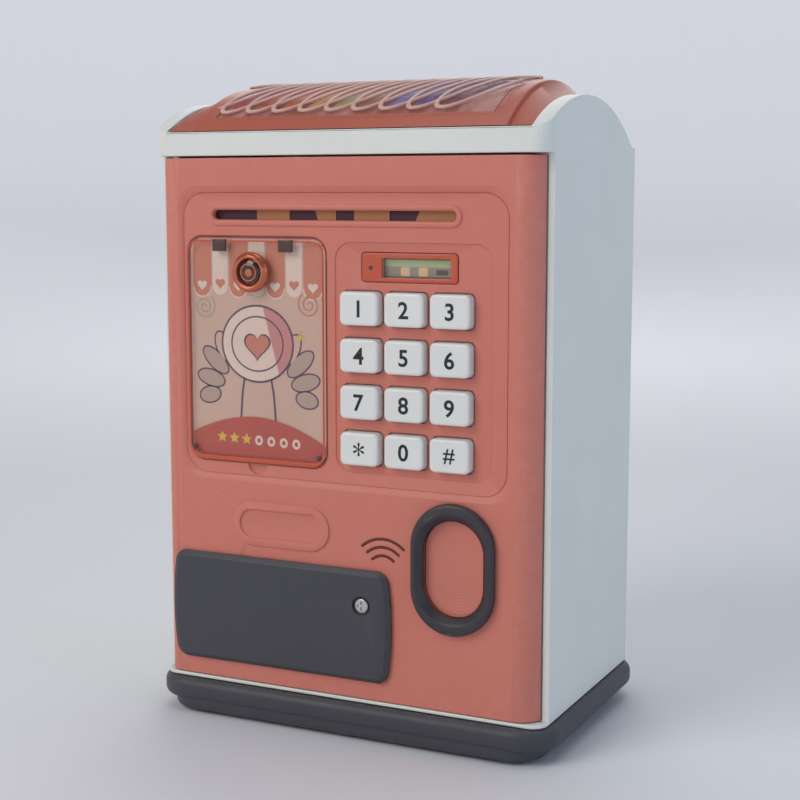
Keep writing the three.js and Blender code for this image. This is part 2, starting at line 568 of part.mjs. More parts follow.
// Conical contact spring; it sits on x = xBase and narrows towards the cell.
function contactSpring(z, xBase, direction) {
  class Cone extends THREE.Curve {
    getPoint(t, target = new THREE.Vector3()) {
      const a = t * 2 * Math.PI * 2;
      const r = 4.4 - 2 * t;
      return target.set(xBase + direction * t * 1.0, CELL.y + r * Math.cos(a), doorZ(z) + r * Math.sin(a));
    }
  }
  const options = { steps: 28, bevelEnabled: false, extrudePath: new Cone() };
  return solid(new THREE.ExtrudeGeometry(circle(0, 0, 0.28, 6), options));
}
place("battery_spring_right", contactSpring(CELL.high, TRAY.right - TRAY.wall - 0.45, -1), STEEL);
place("battery_spring_left", contactSpring(CELL.low, TRAY.left + TRAY.wall + 1.15, 1), STEEL);

// ---- note feed ----
const feedLow = doorZ(FEED.z);
const feedHigh = feedLow + FEED.gap;
place("feed_shaft", rod(FEED.y, feedLow, FEED.shaft, FEED.left, FEED.right, 14), STEEL);
const tyreSpans = [[-27.6, -15], [2.5, 17], [26, 35.6]];
tyreSpans.forEach(([x0, x1], i) =>
  place(
    `feed_tyre_${["left", "middle", "right"][i]}`,
    cut(rod(FEED.y, feedLow, FEED.radius, x0, x1, 24), rod(FEED.y, feedLow, FEED.shaft + GAP, x0 - 1, x1 + 1, 14)),
    RUBBER
  )
);
place(
  "idler_roller",
  join(
    rod(FEED.y, feedHigh, FEED.shaft, -43.6, FEED.right, 14),
    ...tyreSpans.map(([x0, x1]) => rod(FEED.y, feedHigh, FEED.radius, x0, x1, 20))
  ),
  NYLON
);

// Spur gear outline: straight-sided teeth, thinned by the backlash.
function gearOutline(teeth, y, z, phase) {
  const m = GEAR.module;
  const pitch = (m * teeth) / 2;
  const rows = [
    [pitch - 1.15 * m, 0.3],
    [pitch, 0.25 - GEAR.backlash / (2 * Math.PI * m)],
    [pitch + 0.75 * m, 0.12],
  ];
  const points = [];
  for (let i = 0; i < teeth; i++) {
    const flank = (side) => rows.map(([r, share]) => [r, i + phase + side * share]);
    [...flank(-1), ...flank(1).reverse()].forEach(([r, turn]) => {
      const a = (turn / teeth) * 2 * Math.PI;
      points.push(new THREE.Vector2(y + r * Math.cos(a), z + r * Math.sin(a)));
    });
  }
  return new THREE.Shape(points);
}
const gearGap = (GEAR.module * (GEAR.wheelTeeth + GEAR.pinionTeeth)) / 2 + 0.1;
const motorZ = feedLow - gearGap;
const gearX = [GEAR.x, GEAR.x + GEAR.width];
// The wheel has a tooth straight down only when its count over four leaves half a tooth; the pinion meets it.
const wheelPhase = 0;
const pinionPhase = 0.5 + (GEAR.wheelTeeth * 0.75) % 1 + (GEAR.pinionTeeth * 0.25) % 1;
place(
  "feed_gear",
  cut(
    across(gearOutline(GEAR.wheelTeeth, FEED.y, feedLow, wheelPhase), ...gearX),
    rod(FEED.y, feedLow, FEED.shaft + GAP, -60, 0, 14)
  ),
  NYLON
);
place(
  "motor_pinion",
  cut(across(gearOutline(GEAR.pinionTeeth, FEED.y, motorZ, pinionPhase), ...gearX), rod(FEED.y, motorZ, 0.9, -60, 0, 10)),
  NYLON
);

function feedMotor() {
  const can = across(roundedRect(FEED.y - 5, FEED.y + 5, motorZ - 6, motorZ + 6, 3), -43.6, -29);
  return join(can, rod(FEED.y, motorZ, 0.6, -47.4, -43, 10));
}
place("feed_motor", feedMotor(), STEEL);

function rollerFrame() {
  const cheek = (x0, x1) => box(x0, x1, -34, -21, 145.2, 163.4);
  const top = box(-43.4, 38.2, -34, -21, 162, 163.4);
  const bores = [feedLow, feedHigh].map((z) => rod(FEED.y, z, FEED.shaft + GAP, -60, 60, 14));
  return cut(join(cheek(-43.4, -41.9), cheek(36.6, 38.2), top), ...bores);
}
place("roller_frame", rollerFrame(), BLACK);

// ---- latch and speaker ----
function latchSolenoid() {
  const z = doorZ(LATCH.z);
  const body = box(34, 45, LATCH.y - 5, LATCH.y + 5, z - 6, z + 6);
  return cut(body, box(38, 46, LATCH.y - 2.3, LATCH.y + 2.3, z - 3.3, z + 3.3));
}
place("latch_solenoid", latchSolenoid(), STEEL);
place(
  "latch_bolt",
  box(40.5, 53.7, LATCH.y - LATCH.width / 2, LATCH.y + LATCH.width / 2, doorZ(LATCH.z) - LATCH.height / 2, doorZ(LATCH.z) + LATCH.height / 2),
  BLACK
);

function speaker() {
  const profile = [[0, 0], [9, 0], [9, 3.6], [14, 5], [18, 5.6], [18, 7.4], [16.4, 7.4], [7, 4.8], [0, 6]];
  const points = profile.map(([r, y]) => new THREE.Vector2(Math.max(r, 0), y));
  const made = new THREE.LatheGeometry(points, 28).translate(-28, -27.2, doorZ(97));
  return solid(made);
}
place("speaker", speaker(), BLACK);

export default bank;
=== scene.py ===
"""Looks of a toy cash-machine savings bank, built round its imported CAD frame.

Every piece is in the CAD's own frame: +X right, +Y back, +Z up, metres, origin on the ground
under the middle of the plinth. Lengths in the calls are in millimetres and are scaled by MM.
"""

import math

import bmesh
import bpy
from mathutils import Matrix, Vector


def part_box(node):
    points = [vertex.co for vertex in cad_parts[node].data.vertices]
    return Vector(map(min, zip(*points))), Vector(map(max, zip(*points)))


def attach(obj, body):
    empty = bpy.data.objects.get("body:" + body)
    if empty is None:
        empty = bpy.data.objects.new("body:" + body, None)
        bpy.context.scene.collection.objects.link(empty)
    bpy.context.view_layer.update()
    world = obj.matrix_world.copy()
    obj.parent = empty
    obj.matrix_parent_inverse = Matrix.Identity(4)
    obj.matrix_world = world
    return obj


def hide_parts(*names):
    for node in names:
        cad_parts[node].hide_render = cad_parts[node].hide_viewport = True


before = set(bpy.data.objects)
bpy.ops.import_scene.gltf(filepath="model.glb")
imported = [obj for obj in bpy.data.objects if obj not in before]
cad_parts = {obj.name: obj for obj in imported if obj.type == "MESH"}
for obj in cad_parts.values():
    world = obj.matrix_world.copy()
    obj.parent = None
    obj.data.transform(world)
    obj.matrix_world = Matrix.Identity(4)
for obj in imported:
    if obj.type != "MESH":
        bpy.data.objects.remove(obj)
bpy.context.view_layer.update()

MM = 0.001
ROUND = 48  # sides of a smooth circle
LARGE_FACE = 400  # square millimetres; anything larger is a plain flat side and is shaded flat

door_low, door_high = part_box("door_front_panel")
DOOR_BOTTOM = door_low.z / MM
DOOR_TOP = door_high.z / MM
DOOR_FRONT = door_low.y / MM + 0.6  # the badge's bead stands 0.6 proud of the door
DOOR_REAR = DOOR_FRONT + 5
PANEL_INNER = DOOR_FRONT + 2.6
FACE_FLOOR = DOOR_FRONT + 0.8
KEY_NAMES = ["1", "2", "3", "4", "5", "6", "7", "8", "9", "star", "0", "hash"]
# The floor sweeps up all round into a pale wall, which a painted glow brightens: (radius, height) in metres.
FLOOR_SWEEP = [
    (1.0, 0), (1.2, 0.012), (1.36, 0.05), (1.5, 0.12), (1.6, 0.22), (1.66, 0.35), (1.69, 0.5), (1.7, 0.66),
]
KEY_MARKS = ["1", "2", "3", "4", "5", "6", "7", "8", "9", "*", "0", "#"]


def up(z):
    """Height above the ground, in millimetres, of a height counted from the door's lower edge."""
    return DOOR_BOTTOM + z


# ---- camera and light ----


def studio():
    camera = bpy.data.objects.new("camera", bpy.data.cameras.new("camera"))
    bpy.context.scene.collection.objects.link(camera)
    camera.location = Vector((209.3, -430.5, 159.6)) * MM
    aim = Vector((-1.0, 2.0, 95.2)) * MM
    camera.rotation_euler = (aim - camera.location).to_track_quat("-Z", "Y").to_euler()
    camera.data.lens = 70
    camera.data.sensor_width = 36
    camera.data.clip_start = 0.01
    bpy.context.scene.camera = camera
    bpy.context.scene.view_settings.view_transform = "Standard"

    def lamp(name, at, aim_at, size, power, colour):
        light = bpy.data.objects.new(name, bpy.data.lights.new(name, "AREA"))
        bpy.context.scene.collection.objects.link(light)
        light.location = Vector(at)
        light.rotation_euler = (Vector(aim_at) - light.location).to_track_quat("-Z", "Y").to_euler()
        light.data.size = size
        light.data.energy = power
        light.data.color = colour

    lamp("key_light", (-0.55, -0.95, 0.85), (0, 0, 0.1), 0.7, 6.5, (1.0, 0.97, 0.93))
    lamp("sky_light", (0.1, 0.1, 1.2), (0, 0, 0.1), 0.9, 2.9, (1.0, 1.0, 1.0))
    lamp("side_light", (1.1, -0.15, 0.5), (0, 0, 0.1), 0.8, 2.0, (0.25, 0.55, 1.0))
    lamp("rear_light", (-0.4, 1.0, 0.7), (0, 0, 0.1), 0.8, 3.0, (0.95, 0.97, 1.0))

    world = bpy.data.worlds.new("studio")
    bpy.context.scene.world = world
    world.use_nodes = True
    world.node_tree.nodes["Background"].inputs["Color"].default_value = (0.82, 0.87, 0.96, 1)
    world.node_tree.nodes["Background"].inputs["Strength"].default_value = 0.26

    clear_selection()
    bpy.ops.mesh.primitive_circle_add(
        vertices=128, radius=FLOOR_SWEEP[0][0], fill_type="NGON", location=(0, 0, -0.0002)
    )
    floor = bpy.context.object
    floor.name = "floor"
    choose(floor, "edges", lambda edge: True)
    for (radius, height), (wider, higher) in zip(FLOOR_SWEEP, FLOOR_SWEEP[1:]):
        bpy.ops.mesh.extrude_edges_move(TRANSFORM_OT_translate={"value": (0, 0, higher - height)})
        bpy.ops.transform.resize(value=(wider / radius, wider / radius, 1), center_override=(0, 0, 0))
    done()
    bpy.ops.object.shade_smooth()
    floor_paint = bpy.data.materials.new("pale_floor_painted_glow")
    floor_paint.use_nodes = True
    shader = floor_paint.node_tree.nodes["Principled BSDF"]
    shader.inputs["Base Color"].default_value = (0.78, 0.78, 0.80, 1)
    shader.inputs["Roughness"].default_value = 0.75
    tree = floor_paint.node_tree
    reach = node(tree, "VectorMath", {"operation": "LENGTH"})
    tree.links.new(node(tree, "TexCoord").outputs["Object"], reach.inputs[0])
    # Painted glow: the floor gives off light that grows from the middle out to the rising wall, so the wall
    # looks brightly lit.
    painted_glow = node(tree, "MapRange", {"clamp": True}, From_Min=0.45, From_Max=1.6, To_Min=0.0, To_Max=0.25)
    tree.links.new(reach.outputs["Value"], painted_glow.inputs["Value"])
    tree.links.new(painted_glow.outputs["Result"], shader.inputs["Emission Strength"])
    shader.inputs["Emission Color"].default_value = (0.93, 0.95, 1.0, 1)
    floor.data.materials.append(floor_paint)


# ---- making and cutting pieces ----


def clear_selection():
    if bpy.context.mode != "OBJECT":
        bpy.ops.object.mode_set(mode="OBJECT")
    bpy.ops.object.select_all(action="DESELECT")


def pick(piece):
    clear_selection()
    piece.select_set(True)
    bpy.context.view_layer.objects.active = piece


def start(name, add, **settings):
    """Adds a primitive as a piece of that name, with its place taken into its mesh."""
    clear_selection()
    add(**settings)
    piece = bpy.context.object
    piece.name = piece.data.name = name
    bpy.ops.object.transform_apply(location=True, rotation=True, scale=True)
    return piece


def block(name, x, y, z):
    size = [(high - low) * MM for low, high in (x, y, z)]
    middle = [(low + high) / 2 * MM for low, high in (x, y, z)]
    return start(name, bpy.ops.mesh.primitive_cube_add, size=1, location=middle, scale=size)


def rod(name, axis, at, radius, low, high, sides=ROUND):
    """A cylinder along X, Y or Z between low and high; at is its place on the other two axes."""
    middle = (low + high) / 2 * MM
    a, b = at[0] * MM, at[1] * MM
    place = {"X": (middle, a, b), "Y": (a, middle, b), "Z": (a, b, middle)}[axis]
    turn = {"X": (0, math.pi / 2, 0), "Y": (math.pi / 2, 0, 0), "Z": (0, 0, 0)}[axis]
    return start(
        name,
        bpy.ops.mesh.primitive_cylinder_add,
        vertices=sides,
        radius=radius * MM,
        depth=(high - low) * MM,
        location=place,
        rotation=turn,
    )


def choose(piece, kind, wanted):
    """Goes into edit mode with only the wanted vertices, edges or faces selected."""
    pick(piece)
    bpy.ops.object.mode_set(mode="EDIT")
    bpy.ops.mesh.select_mode(type={"verts": "VERT", "edges": "EDGE", "faces": "FACE"}[kind])
    bpy.ops.mesh.select_all(action="DESELECT")
    mesh = bmesh.from_edit_mesh(piece.data)
    for part in getattr(mesh, kind):
        part.select_set(bool(wanted(part)))
    bmesh.update_edit_mesh(piece.data)


def done():
    bpy.ops.object.mode_set(mode="OBJECT")


def runs_along(edge, axis):
    way = (edge.verts[1].co - edge.verts[0].co).normalized()
    return abs(way["XYZ".index(axis)]) > 0.999


def middle_of(edge):
    return (edge.verts[0].co + edge.verts[1].co) / 2


def bevel(piece, wanted, width, segments=6):
    choose(piece, "edges", wanted)
    bpy.ops.mesh.bevel(offset=width * MM, segments=segments, affect="EDGES", clamp_overlap=False)
    done()
    return piece


def plate(name, x, y, z, radius, segments=8, axis="Y"):
    """A slab with its four corner edges along one axis rounded."""
    return bevel(block(name, x, y, z), lambda edge: runs_along(edge, axis), radius, segments)


def oval(name, x, z, width, height, y, segments=10):
    radius = min(width, height) / 2 - 0.002
    across, tall = (x - width / 2, x + width / 2), (z - height / 2, z + height / 2)
    piece = plate(name, across, y, tall, radius, segments)
    choose(piece, "verts", lambda corner: True)
    bpy.ops.mesh.remove_doubles(threshold=0.02 * MM)
    done()
    return piece


def flare(piece, y_plane, grow, rise):
    """Opens the mouth of a cutter: its front face moves to y_plane - rise and grows all round."""
    front = min(corner.co.y for corner in piece.data.vertices)
    choose(piece, "faces", lambda face: face.normal.y < -0.9)
    bpy.ops.transform.translate(value=(0, y_plane * MM - front, 0))
    bpy.ops.mesh.extrude_region_move(TRANSFORM_OT_translate={"value": (0, -rise * MM, 0)})
    spread_selected(piece, grow)
    bpy.ops.mesh.extrude_region_move(TRANSFORM_OT_translate={"value": (0, -4 * MM, 0)})
    done()
    return piece


def spread_selected(piece, grow):
    mesh = bmesh.from_edit_mesh(piece.data)
    corners = [v for v in mesh.verts if v.select]
    reach = [[f(v.co[i] for v in corners) for f in (min, max)] for i in (0, 2)]
    size = [high - low for low, high in reach]
    middle = [(low + high) / 2 for low, high in reach]
    bpy.ops.transform.resize(
        value=((size[0] + 2 * grow * MM) / size[0], 1, (size[1] + 2 * grow * MM) / size[1]),
        center_override=(middle[0], corners[0].co.y, middle[1]),
    )


def boolean(piece, how, *tools):
    for tool in tools:
        modifier = piece.modifiers.new(how.lower(), "BOOLEAN")
        modifier.operation = how
        modifier.solver = "EXACT"
        modifier.object = tool
        pick(piece)
        bpy.ops.object.modifier_apply(modifier=modifier.name)
        bpy.data.objects.remove(tool)
    return piece


def carve(piece, *tools):
    return boolean(piece, "DIFFERENCE", *tools)


def weld(piece, *tools):
    return boolean(piece, "UNION", *tools)


def keep_inside(piece, *tools):
    return boolean(piece, "INTERSECT", *tools)


def join(name, *parts):
    pick(parts[0])
    for part in parts[1:]:
        part.select_set(True)
    bpy.ops.object.join()
    joined = bpy.context.object
    joined.name = joined.data.name = name
    return joined


def mend(piece):
    """Closes up the hair-thin faces that cutting leaves."""
    choose(piece, "verts", lambda corner: True)
    bpy.ops.mesh.remove_doubles(threshold=0.01 * MM)
    bpy.ops.mesh.dissolve_degenerate(threshold=0.005 * MM)
    done()
    return piece


def soften(piece, width, segments=2, angle=38):
    """Rounds every sharp rim of a finished shape."""
    mend(piece)
    modifier = piece.modifiers.new("rims", "BEVEL")
    modifier.width = width * MM
    modifier.segments = segments
    modifier.limit_method = "ANGLE"
    modifier.angle_limit = math.radians(angle)
    modifier.use_clamp_overlap = False
    pick(piece)
    bpy.ops.object.modifier_apply(modifier=modifier.name)
    return piece


def show(piece, body, material, slot, *stands_for):
    """Smooths and paints a finished piece, and lets it ride on its body."""
    pick(piece)
    bpy.ops.object.shade_smooth_by_angle(angle=math.radians(33))
    for polygon in piece.data.polygons:
        if polygon.area > LARGE_FACE * MM * MM:
            polygon.use_smooth = False
    piece.data.materials.clear()
    piece.data.materials.append(material)
    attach(piece, body)
    if stands_for:
        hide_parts(*stands_for)
    return piece


# ---- finishes ----


def group_of(name, inputs, outputs):
    tree = bpy.data.node_groups.new(name, "ShaderNodeTree")
    for label, kind, value in inputs:
        socket = tree.interface.new_socket(name=label, in_out="INPUT", socket_type=kind)
        socket.default_value = value
    for label, kind in outputs:
        tree.interface.new_socket(name=label, in_out="OUTPUT", socket_type=kind)
    return tree, tree.nodes.new("NodeGroupInput"), tree.nodes.new("NodeGroupOutput")


def node(tree, kind, settings=None, **values):
    made = tree.nodes.new("ShaderNode" + kind)
    for key, value in (settings or {}).items():
        setattr(made, key, value)
    for key, value in values.items():
        made.inputs[key.replace("_", " ")].default_value = value
    return made


def maths(tree, operation, a, b, clamp=False):
    made = node(tree, "Math", {"operation": operation, "use_clamp": clamp})
    for index, value in enumerate((a, b)):
        if hasattr(value, "links"):
            tree.links.new(value, made.inputs[index])
        else:
            made.inputs[index].default_value = value
    return made.outputs[0]


def noise(tree, scale, detail, rough=0.55, stretch=None):
    spot = node(tree, "TexCoord").outputs["Object"]
    if stretch:
        mapping = node(tree, "Mapping")
        mapping.inputs["Scale"].default_value = stretch
        tree.links.new(spot, mapping.inputs["Vector"])
        spot = mapping.outputs["Vector"]
    made = node(tree, "TexNoise", Detail=detail, Roughness=rough)
    if hasattr(scale, "links"):
        tree.links.new(scale, made.inputs["Scale"])
    else:
        made.inputs["Scale"].default_value = scale
    tree.links.new(spot, made.inputs["Vector"])
    return made.outputs["Fac"]


def moulded_skin_group():
    """Spark-eroded grain, slow cloudiness and faint rubs of an injection-moulded surface."""
    tree, given, out = group_of(
        "moulded_skin",
        [
            ("Grain Scale", "NodeSocketFloat", 2600),
            ("Roughness", "NodeSocketFloat", 0.5),
            ("Rub", "NodeSocketFloat", 0.1),
        ],
        [("Cloud", "NodeSocketFloat"), ("Roughness", "NodeSocketFloat"), ("Height", "NodeSocketFloat")],
    )
    grain = noise(tree, given.outputs["Grain Scale"], 3)
    cloud = noise(tree, 38, 4)
    rubs = noise(tree, 220, 5, 0.7, (1, 1, 0.25))
    rub = maths(tree, "MULTIPLY", maths(tree, "SUBTRACT", rubs, 0.5), given.outputs["Rub"])
    lumps = maths(tree, "MULTIPLY", maths(tree, "SUBTRACT", cloud, 0.5), 0.12)
    sheen = maths(tree, "ADD", maths(tree, "ADD", given.outputs["Roughness"], rub), lumps, True)
    tree.links.new(cloud, out.inputs["Cloud"])
    tree.links.new(sheen, out.inputs["Roughness"])
    tree.links.new(grain, out.inputs["Height"])
    return tree


def edge_wear_group():
    """Mask of the rims and corners that hands and shelves rub bare."""
    tree, given, out = group_of(
        "edge_wear",
        [("Amount", "NodeSocketFloat", 0.5)],
        [("Mask", "NodeSocketFloat")],
    )
    point = node(tree, "NewGeometry").outputs["Pointiness"]
    rise = node(tree, "MapRange", {"clamp": True}, From_Min=0.52, From_Max=0.60)
    tree.links.new(point, rise.inputs["Value"])
    patches = node(tree, "MapRange", {"clamp": True}, From_Min=0.42, From_Max=0.66)
    tree.links.new(noise(tree, 260, 6, 0.65), patches.inputs["Value"])
    worn = maths(tree, "MULTIPLY", rise.outputs["Result"], patches.outputs["Result"])
    tree.links.new(maths(tree, "MULTIPLY", worn, given.outputs["Amount"], True), out.inputs["Mask"])
    return tree


def shelf_dust_group():
    """Mask of the thin dust that lies on faces turned upwards."""
    tree, given, out = group_of(
        "shelf_dust",
        [("Amount", "NodeSocketFloat", 0.2)],
        [("Mask", "NodeSocketFloat")],
    )
    normal = node(tree, "SeparateXYZ")
    tree.links.new(node(tree, "NewGeometry").outputs["Normal"], normal.inputs["Vector"])
    flat = node(tree, "MapRange", {"clamp": True}, From_Min=0.55, From_Max=1.0)
    tree.links.new(normal.outputs["Z"], flat.inputs["Value"])
    specks = node(tree, "MapRange", {"clamp": True}, From_Min=0.35, From_Max=0.75)
    tree.links.new(noise(tree, 900, 8, 0.75), specks.inputs["Value"])
    lying = maths(tree, "MULTIPLY", flat.outputs["Result"], specks.outputs["Result"])
    tree.links.new(maths(tree, "MULTIPLY", lying, given.outputs["Amount"], True), out.inputs["Mask"])
    return tree


def grouped(tree, which, **values):
    made = tree.nodes.new("ShaderNodeGroup")
    made.node_tree = which
    for key, value in values.items():
        made.inputs[key.replace("_", " ")].default_value = value
    return made


def blend_colour(tree, factor, first, second):
    mix = node(tree, "Mix", {"data_type": "RGBA"})
    tree.links.new(factor, mix.inputs["Factor"])
    for index, colour in ((6, first), (7, second)):
        if hasattr(colour, "links"):
            tree.links.new(colour, mix.inputs[index])
        else:
            mix.inputs[index].default_value = (*colour, 1)
    return mix.outputs[2]


def shade(colour, factor):
    return tuple(min(1.0, part * factor) for part in colour)


def moulded(name, colour, roughness, grain=2600, depth=0.02, wear=0.35, dust=0.12, rub=0.12, **shader_values):
    """A moulded plastic: graininess, cloudy colour, paler worn rims and a trace of dust."""
    material = bpy.data.materials.new(name)
    material.use_nodes = True
    tree = material.node_tree
    shader = tree.nodes["Principled BSDF"]
    skin = grouped(tree, SKIN, Grain_Scale=grain, Roughness=roughness, Rub=rub)
    clouded = blend_colour(tree, skin.outputs["Cloud"], shade(colour, 0.93), shade(colour, 1.06))
    worn = blend_colour(tree, grouped(tree, WEAR, Amount=wear).outputs["Mask"], clouded, lifted(colour))
    dusty = blend_colour(tree, grouped(tree, DUST, Amount=dust).outputs["Mask"], worn, (0.55, 0.52, 0.48))
    bump = node(tree, "Bump", Strength=depth * 10, Distance=0.00006)
    tree.links.new(skin.outputs["Height"], bump.inputs["Height"])
    tree.links.new(dusty, shader.inputs["Base Color"])
    tree.links.new(skin.outputs["Roughness"], shader.inputs["Roughness"])
    tree.links.new(bump.outputs["Normal"], shader.inputs["Normal"])
    for key, value in shader_values.items():
        shader.inputs[key.replace("_", " ")].default_value = value
    return material


def lifted(colour):
    return tuple(part + (0.9 - part) * 0.3 for part in colour)


SKIN = moulded_skin_group()
WEAR = edge_wear_group()
DUST = shelf_dust_group()

CORAL = moulded("coral_plastic", (0.66, 0.205, 0.15), 0.46, grain=1500, depth=0.035, Specular_IOR_Level=0.4)
ROOF_RED = moulded("roof_plastic", (0.46, 0.10, 0.055), 0.36, grain=1800, wear=0.25)
# Glossy coral for the frames in the recesses. Its colour is darker than the door's coral as painted shade of
# the recess; the gloss is real.
CORAL_GLOSS_RECESS_SHADE = moulded("coral_gloss_painted_recess_shade", (0.58, 0.10, 0.045), 0.24, depth=0.005, wear=0)
WHITE = moulded("white_plastic", (0.78, 0.795, 0.745), 0.42, grain=2200, depth=0.012, wear=0.1)
CHARCOAL = moulded(
    "charcoal_plastic", (0.052, 0.053, 0.063), 0.5, grain=1100, depth=0.05, wear=0.25, dust=0.2
)
RING_DARK = moulded("ring_plastic", (0.040, 0.034, 0.042), 0.42, wear=0.2, dust=0.1)
# Dark red-brown fill laid in the signal grooves.
ARC_DARK_FILL = moulded("arc_dark_fill", (0.13, 0.022, 0.018), 0.5, depth=0.004, wear=0, dust=0.03)
SEAL_BROWN = moulded("seal_brown", (0.46, 0.20, 0.085), 0.6, wear=0, dust=0)
# Painted shade: the dark inside of the note slot.
SEAL_PAINTED_SHADE = moulded("seal_painted_shade", (0.07, 0.02, 0.035), 0.6, wear=0, dust=0)
KEY_WHITE = moulded("key_plastic", (0.80, 0.80, 0.77), 0.3, depth=0.006, wear=0.05, Coat_Weight=0.15)
INK = moulded("printed_ink", (0.012, 0.011, 0.012), 0.4, depth=0.004, wear=0, dust=0.03)
STEEL = moulded(
    "plain_steel", (0.55, 0.54, 0.53), 0.32, grain=1800, depth=0.01, wear=0, dust=0.05, Metallic=1.0
)
FOOT = moulded("foot_rubber", (0.02, 0.02, 0.022), 0.85, wear=0.1)
TYRE = moulded("feed_rubber", (0.52, 0.25, 0.12), 0.6, wear=0)
NYLON = moulded("nylon", (0.82, 0.79, 0.72), 0.4, wear=0)
BLACK = moulded("black_plastic", (0.025, 0.025, 0.028), 0.5, wear=0.15)


def clear(name, colour, alpha, roughness=0.06, gloss=0.5):
    """A clear moulding: thin, glossy, with faint smears that change its gloss."""
    material = moulded(name, colour, roughness, grain=700, depth=0.001, wear=0, dust=0.03, rub=0.05)
    material.node_tree.nodes["Principled BSDF"].inputs["Alpha"].default_value = alpha
    material.node_tree.nodes["Principled BSDF"].inputs["Specular IOR Level"].default_value = gloss
    return material


def film_ink(name, colour):
    """Coloured foil under the roof's lens, broken into streaks of light and dark."""
    material = moulded(name, colour, 0.3, grain=900, depth=0.002, wear=0, dust=0, rub=0.05)
    tree = material.node_tree
    shader = tree.nodes["Principled BSDF"]
    streaks = node(tree, "MapRange", {"clamp": True}, From_Min=0.38, From_Max=0.68)
    tree.links.new(noise(tree, 160, 3, 0.5, (1.6, 0.35, 0.6)), streaks.inputs["Value"])
    pale = tuple(part * 0.75 + 0.20 for part in colour)
    streaked = blend_colour(tree, streaks.outputs["Result"], shade(colour, 0.7), pale)
    tree.links.new(streaked, shader.inputs["Base Color"])
    return material


def finger_ridges(name, colour, centre, pitch):
    """The coral plastic with fine moulded ridges in rings, like those on a fingertip."""
    material = moulded(name, colour, 0.46)
    tree = material.node_tree
    spot = node(tree, "Mapping")
    spot.inputs["Location"].default_value = tuple(-part * MM for part in centre)
    tree.links.new(node(tree, "TexCoord").outputs["Object"], spot.inputs["Vector"])
    rings = node(tree, "TexWave", {"wave_type": "RINGS", "rings_direction": "Y"}, Distortion=2.5, Detail=1.0)
    rings.inputs["Scale"].default_value = 2 * math.pi / (20 * pitch * MM)
    rings.inputs["Detail Scale"].default_value = 0.4
    tree.links.new(spot.outputs["Vector"], rings.inputs["Vector"])
    bump = node(tree, "Bump", Strength=0.35, Distance=0.0001)
    tree.links.new(rings.outputs["Fac"], bump.inputs["Height"])
    tree.links.new(bump.outputs["Normal"], tree.nodes["Principled BSDF"].inputs["Normal"])
    return material


PAD_RIDGED = finger_ridges("finger_pad_plastic", (0.66, 0.205, 0.15), (36, -38, DOOR_BOTTOM + 40), 0.9)
CLEAR = clear("clear_plastic", (0.95, 0.96, 0.97), 0.03, 0.08, 0.28)
LENS_CLEAR = clear("lens_plastic", (0.70, 0.28, 0.20), 0.10, 0.1, 0.22)
RIDGE = clear("lens_ridge", (0.82, 0.50, 0.42), 0.8, 0.18)
FILM = film_ink("lens_film", (0.42, 0.11, 0.075))
COPPER = moulded("copper_plate", (0.60, 0.17, 0.09), 0.2, depth=0.003, wear=0.2, Metallic=0.75)
EYE_GLASS = moulded(
    "eye_glass", (0.035, 0.016, 0.013), 0.06, depth=0.0, wear=0, dust=0, rub=0.02, Coat_Weight=0.6
)
LUG = moulded("dark_lug", (0.085, 0.035, 0.03), 0.3, depth=0.004, wear=0.1)
DISPLAY_GREEN = moulded("display_green", (0.42, 0.52, 0.24), 0.3, depth=0.001, wear=0, dust=0)
DISPLAY_BROWN = moulded("display_brown", (0.30, 0.24, 0.17), 0.3, depth=0.001, wear=0, dust=0)
DISPLAY_SPOT = moulded("display_spot", (0.72, 0.48, 0.26), 0.3, depth=0.001, wear=0, dust=0)
BOARD = moulded("circuit_board", (0.02, 0.13, 0.06), 0.35, grain=600, wear=0.1)
CELL = moulded("cell_wrap", (0.03, 0.09, 0.20), 0.3, depth=0.003, wear=0.1)
SILICONE = moulded("silicone", (0.5, 0.5, 0.5), 0.6, wear=0)

# ---- plinth ----


def make_plinth():
    low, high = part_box("base_plinth")
    half, deep = high.x / MM, high.y / MM
    top = high.z / MM
    rim = plate("plinth", (-half, half), (-deep, deep), (4.0, top), 11, 14, "Z")
    bevel(rim, lambda e: middle_of(e).z > (top - 0.1) * MM, 2.4, 6)
    bevel(rim, lambda e: middle_of(e).z < 4.05 * MM and not runs_along(e, "Z"), 2.2, 6)
    skirt = plate("skirt", (-half + 4, half - 4), (-deep + 0.7, deep - 4), (0.8, 6), 10, 12, "Z")
    bevel(skirt, lambda e: middle_of(e).z < 0.85 * MM, 1.6, 4)
    hollow = plate("hollow", (-half + 6.4, half - 6.4), (-deep + 3.2, deep - 6.4), (-2, top - 2.6), 8, 8, "Z")
    weld(rim, skirt)
    carve(rim, hollow)
    for x in (-51, 51):
        for y in (-29, 29):
            weld(rim, rod("boss", "Z", (x, y), 8, 0.8, top - 1.5))
            carve(rim, rod("pocket", "Z", (x, y), 6.8, -1, 2.2))
            foot = rod("foot", "Z", (x, y), 6.5, 0, 1.9)
            choose(foot, "faces", lambda face: face.normal.z < -0.9)
            bpy.ops.mesh.inset(thickness=1.4 * MM)
            bpy.ops.mesh.inset(thickness=0.4 * MM, depth=-0.3 * MM)
            done()
            low_rim = lambda e: middle_of(e).z < 0.02 * MM and middle_of(e).xy.length > 0 and is_rim(e)
            bevel(foot, low_rim, 0.3, 2)
            side = "front" if y < 0 else "rear"
            hand = "left" if x < 0 else "right"
            show(foot, "cabinet", FOOT, "foot_rubber", f"foot_{side}_{hand}")
            foot.name = f"shown_foot_{side}_{hand}"
    show(rim, "cabinet", CHARCOAL, "charcoal_plastic", "base_plinth")


